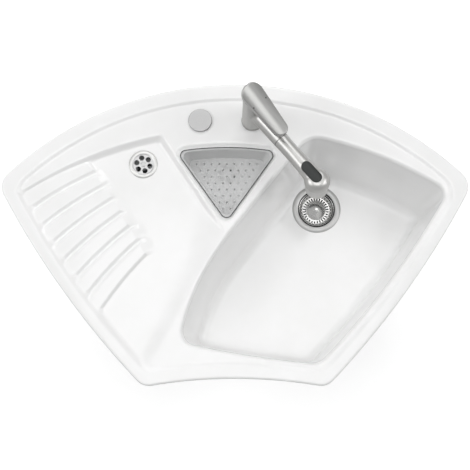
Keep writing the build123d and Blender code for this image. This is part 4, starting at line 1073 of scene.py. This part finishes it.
# ---------------------------------------------------------------------------
# From vertices to finished pieces
# ---------------------------------------------------------------------------
DRAWN_WELD, PACKED_WELD = 4e-6, 1e-7     # vertices closer than this become one, in metres
SHARP_FROM = math.radians(38.0)


def weld(mesh, distance, turn_outwards):
    """Join a mesh's doubled vertices, and turn its normals outwards if asked to."""
    tidy = bmesh.new()
    tidy.from_mesh(mesh)
    bmesh.ops.remove_doubles(tidy, verts=tidy.verts, dist=distance)
    if turn_outwards:
        bmesh.ops.recalc_face_normals(tidy, faces=tidy.faces)
    tidy.to_mesh(mesh)
    tidy.free()


def mesh_from(name, points, faces):
    """A welded mesh in metres, from millimetre vertices and faces."""
    mesh = bpy.data.meshes.new(name)
    mesh.from_pydata((np.asarray(points) * MM).tolist(), [], faces)
    weld(mesh, DRAWN_WELD, turn_outwards=True)
    return mesh


def piece_from(name, points, faces, material, body, slot):
    """A finished, closed, smooth piece from millimetre vertices and faces."""
    mesh = mesh_from(name, points, faces)
    mesh.shade_smooth()
    mesh.set_sharp_from_angle(angle=SHARP_FROM)
    mesh.materials.append(finishes[material])
    piece = bpy.data.objects.new(name, mesh)
    bpy.context.scene.collection.objects.link(piece)
    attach(piece, body)
    return piece


def carrier_of(name, mesh):
    """An object that carries a mesh while a modifier works on it."""
    carrier = bpy.data.objects.new(name, mesh)
    bpy.context.scene.collection.objects.link(carrier)
    return carrier


def worked(carrier):
    """Points in millimetres and faces of what a carrier's modifiers make; removes it."""
    graph = bpy.context.evaluated_depsgraph_get()
    made = bpy.data.meshes.new_from_object(carrier.evaluated_get(graph))
    bpy.data.objects.remove(carrier)
    places = np.array([tuple(vertex.co) for vertex in made.vertices]) / MM
    return places, [tuple(polygon.vertices) for polygon in made.polygons]


def combined(mesh, other, operation):
    """Points and faces of one closed mesh cut by another, or kept inside it."""
    carrier, tool = carrier_of("worked_piece", mesh), carrier_of("cutting_shape", other)
    modifier = carrier.modifiers.new("cut", "BOOLEAN")
    modifier.operation, modifier.object, modifier.solver = operation, tool, "MANIFOLD"
    result = worked(carrier)
    bpy.data.objects.remove(tool)
    return result


# Overflow slot in the small bowl's back wall
OVERFLOW_AT, OVERFLOW_DEEP = (-19.0, 501.4, -15.0), 7.0
OVERFLOW_LENGTH, OVERFLOW_HEIGHT = 58.0, 9.0
OVERFLOW_MOUTH = ((-14.0, 1.4), (-4.2, 1.4), (-3.4, 0.6), (-2.4, 0.0))   # depth and widening


def slot_loop(depth, grow):
    """Points round the overflow slot at a depth past the bowl's wall."""
    half, radius = (OVERFLOW_LENGTH - OVERFLOW_HEIGHT) / 2, OVERFLOW_HEIGHT / 2 + grow
    turns = np.linspace(-math.pi / 2, math.pi / 2, 12)
    right = np.column_stack([half + radius * np.cos(turns), radius * np.sin(turns)])
    plan = np.concatenate([right, -right])
    return np.column_stack([OVERFLOW_AT[0] + plan[:, 0],
                            np.full(len(plan), OVERFLOW_AT[1] + depth),
                            OVERFLOW_AT[2] + plan[:, 1]])


overflow = Skin()
overflow.wall([slot_loop(*row) for row in (*OVERFLOW_MOUTH, (OVERFLOW_DEEP, 0.0))], capped=True)
ceramic = ceramic_skin()
glazed_moulding = piece_from("glazed_moulding", *combined(
    mesh_from("moulding", np.concatenate(ceramic.points), ceramic.faces),
    mesh_from("overflow", np.concatenate(overflow.points), overflow.faces), "DIFFERENCE"),
    "glaze", "sink", "ceramic")
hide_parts("sink_body")


# ---------------------------------------------------------------------------
# What repeats round a centre: one Geometry Nodes tree, used for flutes and grid lips
# ---------------------------------------------------------------------------
def ring_tree():
    """Geometry Nodes tree that sets copies of a mesh round a circle, each turned with it."""
    tree = bpy.data.node_groups.new("copies_round_a_centre", "GeometryNodeTree")
    sockets = {}
    for label, kind, way in (("Geometry", "NodeSocketGeometry", "INPUT"),
                             ("Count", "NodeSocketInt", "INPUT"),
                             ("Radius", "NodeSocketFloat", "INPUT"),
                             ("First Angle", "NodeSocketFloat", "INPUT"),
                             ("Material", "NodeSocketMaterial", "INPUT"),
                             ("Geometry", "NodeSocketGeometry", "OUTPUT")):
        socket = tree.interface.new_socket(label, in_out=way, socket_type=kind)
        if way == "INPUT":
            sockets[label] = socket.identifier
    given = tree.nodes.new("NodeGroupInput")
    circle = tree.nodes.new("GeometryNodeMeshCircle")
    instances = tree.nodes.new("GeometryNodeInstanceOnPoints")
    index = tree.nodes.new("GeometryNodeInputIndex")
    turn = tree.nodes.new("ShaderNodeCombineXYZ")
    whole = tree.nodes.new("GeometryNodeTransform")
    whole_turn = tree.nodes.new("ShaderNodeCombineXYZ")
    realize = tree.nodes.new("GeometryNodeRealizeInstances")
    dress = tree.nodes.new("GeometryNodeSetMaterial")
    made = tree.nodes.new("NodeGroupOutput")
    links = tree.links
    links.new(given.outputs["Count"], circle.inputs["Vertices"])
    links.new(given.outputs["Radius"], circle.inputs["Radius"])
    links.new(circle.outputs["Mesh"], instances.inputs["Points"])
    links.new(given.outputs["Geometry"], instances.inputs["Instance"])
    angle = maths(tree, "DIVIDE", maths(tree, "MULTIPLY", index.outputs[0], 2 * math.pi),
                  given.outputs["Count"])
    links.new(angle, turn.inputs["Z"])
    links.new(turn.outputs[0], instances.inputs["Rotation"])
    links.new(given.outputs["First Angle"], whole_turn.inputs["Z"])
    links.new(whole_turn.outputs[0], whole.inputs["Rotation"])
    links.new(instances.outputs["Instances"], whole.inputs["Geometry"])
    links.new(whole.outputs[0], realize.inputs[0])
    links.new(realize.outputs[0], dress.inputs["Geometry"])
    links.new(given.outputs["Material"], dress.inputs["Material"])
    links.new(dress.outputs[0], made.inputs[0])
    return tree, sockets


ring_copies, ring_sockets = ring_tree()


def round_a_centre(name, points, faces, count, radius, first, centre, level, material, body):
    """Copies of one small mesh, set round a centre at a level, as one finished piece."""
    carrier = carrier_of(name + "_carrier", mesh_from(name + "_single", points, faces))
    modifier = carrier.modifiers.new("ring", "NODES")
    modifier.node_group = ring_copies
    for label, value in (("Count", count), ("Radius", radius * MM), ("First Angle", first),
                         ("Material", finishes[material])):
        modifier[ring_sockets[label]] = value
    places, corners = worked(carrier)
    return piece_from(name, places + np.array((*centre, level)), corners, material, body,
                      "waste_steel")


def ring_at(centre, radius, level, angles):
    """Points round a circle at a level."""
    return np.column_stack([centre[0] + radius * np.cos(angles),
                            centre[1] + radius * np.sin(angles), np.full(len(angles), level)])


def turned_profile(profile, steps, centre, level):
    """Points and faces of a closed shape turned round a vertical axis."""
    angles = np.linspace(0.0, 2 * math.pi, steps, endpoint=False)
    rings = [ring_at(centre, radius, level + height, angles) for radius, height in profile]
    skin = Skin()
    skin.wall([*rings, rings[0]])
    return np.concatenate(skin.points), skin.faces


# Basket of the main waste: a cone with slots round it, a fluted wall and a rim
BASKET_FLUTES, STEPS_A_FLUTE, SLOT_STEPS = 28, 8, (2, 3, 4, 5)
BASKET_SHEET = 1.1
SLOT_FROM, SLOT_TO = 25.0, 32.0
FLUTE_CIRCLE, FLUTE_LEVEL = 36.3, -12.6
FLUTE_HALF = (2.9, 3.7, 5.0)                 # radial, along the circle and upright
FLUTE_ROWS, FLUTE_COLUMNS = 7, 12
basket_profile = [(5.6, -5.0), (7.0, -5.6), (10.0, -7.6), (14.0, -10.3), (18.0, -13.0),
                  (21.5, -15.2), (23.6, -16.5), (25.0, -17.0), (26.6, -17.0), (28.4, -17.0),
                  (30.2, -17.0), (32.0, -17.0), (33.6, -17.0), (35.0, -16.4), (36.0, -14.6),
                  (37.0, -11.5), (38.0, -9.2), (39.2, -7.6), (40.2, -7.0), (41.0, -6.2),
                  (41.4, -3.0), (41.7, -1.3), (42.4, -1.0), (43.0, -1.5), (43.2, -2.6),
                  (43.2, -6.4)]


def rows_of_quads(rows, columns, left_out=lambda row, k: False):
    """Faces between rows of points that run round a centre, apart from those left out."""
    faces = []
    for row in range(rows - 1):
        here, there = row * columns, (row + 1) * columns
        for k in range(columns):
            if not left_out(row, k):
                following = (k + 1) % columns
                faces.append((here + k, there + k, there + following, here + following))
    return faces


def basket_sheet():
    """Points and faces of the basket's sheet, open at its slots."""
    steps = BASKET_FLUTES * STEPS_A_FLUTE
    angles = np.linspace(0.0, 2 * math.pi, steps, endpoint=False)
    slotted = [SLOT_FROM < (inner[0] + outer[0]) / 2 < SLOT_TO
               for inner, outer in zip(basket_profile, basket_profile[1:])]
    faces = rows_of_quads(len(basket_profile), steps, left_out=lambda row, k:
                          slotted[row] and k % STEPS_A_FLUTE in SLOT_STEPS)
    return np.concatenate([ring_at(MAIN_WASTE, radius, MAIN_FLOOR + height, angles)
                           for radius, height in basket_profile]), faces


def solid_sheet(name, points, faces, thickness):
    """A sheet given its thickness below it: points and faces of the closed result."""
    mesh = bpy.data.meshes.new(name)
    mesh.from_pydata((np.asarray(points) * MM).tolist(), [], faces)
    carrier = carrier_of(name + "_carrier", mesh)
    modifier = carrier.modifiers.new("thickness", "SOLIDIFY")
    modifier.thickness, modifier.offset = thickness * MM, -1.0
    return worked(carrier)


fluted_basket = piece_from(
    "fluted_basket", *solid_sheet("basket_sheet", *basket_sheet(), BASKET_SHEET),
    "basket_steel", "basket", "waste_steel")
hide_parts("basket_strainer")

flute_turns = 2 * math.pi * np.arange(FLUTE_COLUMNS) / FLUTE_COLUMNS
flute_points = np.concatenate([
    np.column_stack([FLUTE_HALF[0] * math.sin(rise) * np.cos(flute_turns),
                     FLUTE_HALF[1] * math.sin(rise) * np.sin(flute_turns),
                     np.full(FLUTE_COLUMNS, FLUTE_HALF[2] * math.cos(rise))])
    for rise in math.pi * (np.arange(FLUTE_ROWS) + 0.5) / FLUTE_ROWS])
flute_ends = [tuple(range(FLUTE_COLUMNS)), tuple(range(len(flute_points)))[:-FLUTE_COLUMNS - 1:-1]]
round_a_centre("basket_flutes", flute_points,
               rows_of_quads(FLUTE_ROWS, FLUTE_COLUMNS) + flute_ends, BASKET_FLUTES,
               FLUTE_CIRCLE, math.pi / BASKET_FLUTES, MAIN_WASTE, MAIN_FLOOR + FLUTE_LEVEL,
               "basket_steel", "basket")

# Turned-up lips round the six holes of each small grid, and dark discs closing the tails: painted
# shade that stands in for the dark pipe below
GRID_CIRCLE, GRID_HOLE, GRID_HOLES, GRID_FIRST = 15.6, 5.8, 6, math.radians(45.0)
GRID_ABOVE_SEAT = 0.6
TAIL_BORE = 16.4
lip_section = [(0.9, 0.0), (0.75, 0.45), (0.35, 0.6), (0.05, 0.35), (0.0, 0.0)]
tail_shade_disc_section = [(0.4, -54.0), (13.0, -54.0), (14.5, -53.4), (15.2, -52.0),
                    (TAIL_BORE, -52.0), (TAIL_BORE, -57.0), (15.0, -58.0), (0.4, -58.0)]
lip = turned_profile([(GRID_HOLE + out, height) for out, height in lip_section], 28,
                     (0.0, 0.0), 0.0)
small_wastes = (("tray", TRAY_WASTE, TRAY_SEAT_LEVEL, TRAY_UNDERSIDE),
                ("small", SMALL_WASTE, SMALL_FLOOR - SMALL_SEAT, SMALL_FLOOR - WALL))
for side, centre, seat_level, _ in small_wastes:
    round_a_centre(f"{side}_waste_lips", *lip, GRID_HOLES, GRID_CIRCLE, GRID_FIRST, centre,
                   seat_level + GRID_ABOVE_SEAT, f"{side}_waste_steel", "sink")
# Painted shade: a dark disc in each tail, where the pipe below would be dark
for side, centre, _, base_level in small_wastes:
    piece_from(f"{side}_tail_shade_disc", *turned_profile(tail_shade_disc_section, 40, centre, base_level),
               "seal_rubber", "sink", "seal_rubber")

# Painted shade along the clear colander's edge: a dark ring where its flange lies against the
# ceramic, standing in for the shadowed gap
edge_section = [(-2.1, 3.2), (-2.1, 5.3), (-1.6, 5.5), (-0.5, 5.5), (0.1, 5.2), (0.1, 3.2)]
edge_rings = [raised(small_loop(grow), height) for grow, height in edge_section]
edge_skin = Skin()
edge_skin.wall([*edge_rings, edge_rings[0]])
piece_from("colander_shade_ring", np.concatenate(edge_skin.points), edge_skin.faces, "edge_shade_plastic",
           "colander", "clear_plastic")

# Upright of the tap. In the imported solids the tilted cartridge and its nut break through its
# back wall; here that wall is closed, and both are kept inside it.
UPRIGHT = ((14.5, 24.3), (116.0, 23.4), (196.0, 23.2))       # height and radius
UPRIGHT_WALL, UPRIGHT_PROUD, UPRIGHT_SUNK, ROOM_PLAY = 1.3, 0.04, -0.1, 0.3
BACK_FROM, BACK_TO, BACK_HALF_ANGLE = 98.0, 163.0, math.radians(64.0)
BACK_ROWS, BACK_COLUMNS = 24, 45
ROOM_TOP, ROOM_AXIS = 185.0, 0.2


def upright_radius(height):
    """Radius of the tap's upright at a height."""
    return np.interp(height, [place for place, _ in UPRIGHT], [reach for _, reach in UPRIGHT])


def upright_back():
    """Points and faces of the back wall: a curved plate whose border dips into the upright."""
    heights = np.linspace(BACK_FROM, BACK_TO, BACK_ROWS)
    turns = SPOUT_HEADING + math.pi + np.linspace(-BACK_HALF_ANGLE, BACK_HALF_ANGLE, BACK_COLUMNS)
    outside, inside = [], []
    for row, height in enumerate(heights):
        for column, turn in enumerate(turns):
            on_border = row in (0, BACK_ROWS - 1) or column in (0, BACK_COLUMNS - 1)
            reach = upright_radius(height) + (UPRIGHT_SUNK if on_border else UPRIGHT_PROUD)
            for face, radius in ((outside, reach), (inside, reach - UPRIGHT_WALL)):
                face.append((TAP_AT[0] + radius * math.cos(turn),
                             TAP_AT[1] + radius * math.sin(turn), height))
    faces, size = [], len(outside)
    for row in range(BACK_ROWS - 1):
        for column in range(BACK_COLUMNS - 1):
            corner = row * BACK_COLUMNS + column
            face = (corner, corner + 1, corner + BACK_COLUMNS + 1, corner + BACK_COLUMNS)
            faces += [face, tuple(place + size for place in face[::-1])]
    grid = np.arange(size).reshape(BACK_ROWS, BACK_COLUMNS)
    border = [*grid[0], *grid[1:, -1], *grid[-1, -2::-1], *grid[-2:0:-1, 0]]
    for here, following in zip(border, border[1:] + border[:1]):
        faces.append((following, here, here + size, following + size))
    return outside + inside, faces


piece_from("upright_back_wall", *upright_back(), "spout_steel", "turret", "tap_metal")
room_heights = (*(height for height, _ in UPRIGHT[:2]), ROOM_TOP)
room = turned_profile(
    [(ROOM_AXIS, room_heights[0]), *((upright_radius(height) - UPRIGHT_WALL - ROOM_PLAY, height)
                                     for height in room_heights), (ROOM_AXIS, ROOM_TOP)],
    72, TAP_AT, 0.0)
for name, source, material, slot in (
        ("seated_cartridge", "cartridge", "slide_plastic", "slide_plastic"),
        ("seated_nut", "cartridge_nut", "turned_brass", "brass_fixing")):
    shape = nodes[source].data.copy()
    weld(shape, PACKED_WELD, turn_outwards=False)
    piece = piece_from(name, *combined(shape, mesh_from(name + "_room", *room), "INTERSECT"),
                       material, "turret", slot)
    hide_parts(source)

# Two small index marks on the lever, where the photograph shows them
PHOTO_MIDDLE = PHOTO_WIDTH_PX / 2
INDEX_MARKS_PX = ((265.9, 97.7), (253.8, 108.1))
mark = turned_profile([(0.05, 0.25), (1.2, 0.25), (1.6, 0.1), (1.65, -0.6), (0.05, -0.6)], 24,
                      (0.0, 0.0), 0.0)
mark_finder = BVHTree.FromObject(nodes["lever"], bpy.context.evaluated_depsgraph_get())
for number, (across, down) in enumerate(INDEX_MARKS_PX, start=1):
    seen_along = camera.rotation_euler.to_matrix() @ Vector(
        ((across - PHOTO_MIDDLE) / FOCAL_PX, (PHOTO_MIDDLE - down) / FOCAL_PX, -1.0))
    place, normal, _, _ = mark_finder.ray_cast(CAMERA_AT, seen_along.normalized())
    turn = normal.to_track_quat("Z", "Y").to_matrix()
    set_down = [tuple((turn @ Vector(point)) + place / MM) for point in mark[0]]
    piece_from(f"index_mark_{number}", set_down, mark[1], "dark_mark", "lever", "button_plastic")


# ---------------------------------------------------------------------------
# Floor
# ---------------------------------------------------------------------------
floor_mesh = bpy.data.meshes.new("floor")
floor_mesh.from_pydata([(x * FLOOR_HALF, y * FLOOR_HALF, FLOOR_Z)
                        for x, y in ((-1, -1), (1, -1), (1, 1), (-1, 1))], [], [(0, 1, 2, 3)])
floor = bpy.data.objects.new("floor", floor_mesh)
bpy.context.scene.collection.objects.link(floor)
floor_material, floor_tree, floor_shader = new_material("pale_floor", (0.86, 0.86, 0.86), 0.9)
floor_shader.inputs["Emission Color"].default_value = (1.0, 1.0, 1.0, 1.0)
floor_tree.links.new(maths(floor_tree, "MULTIPLY", backdrop_rays(floor_tree), FLOOR_GLOW),
                     floor_shader.inputs["Emission Strength"])
floor_mesh.materials.append(floor_material)
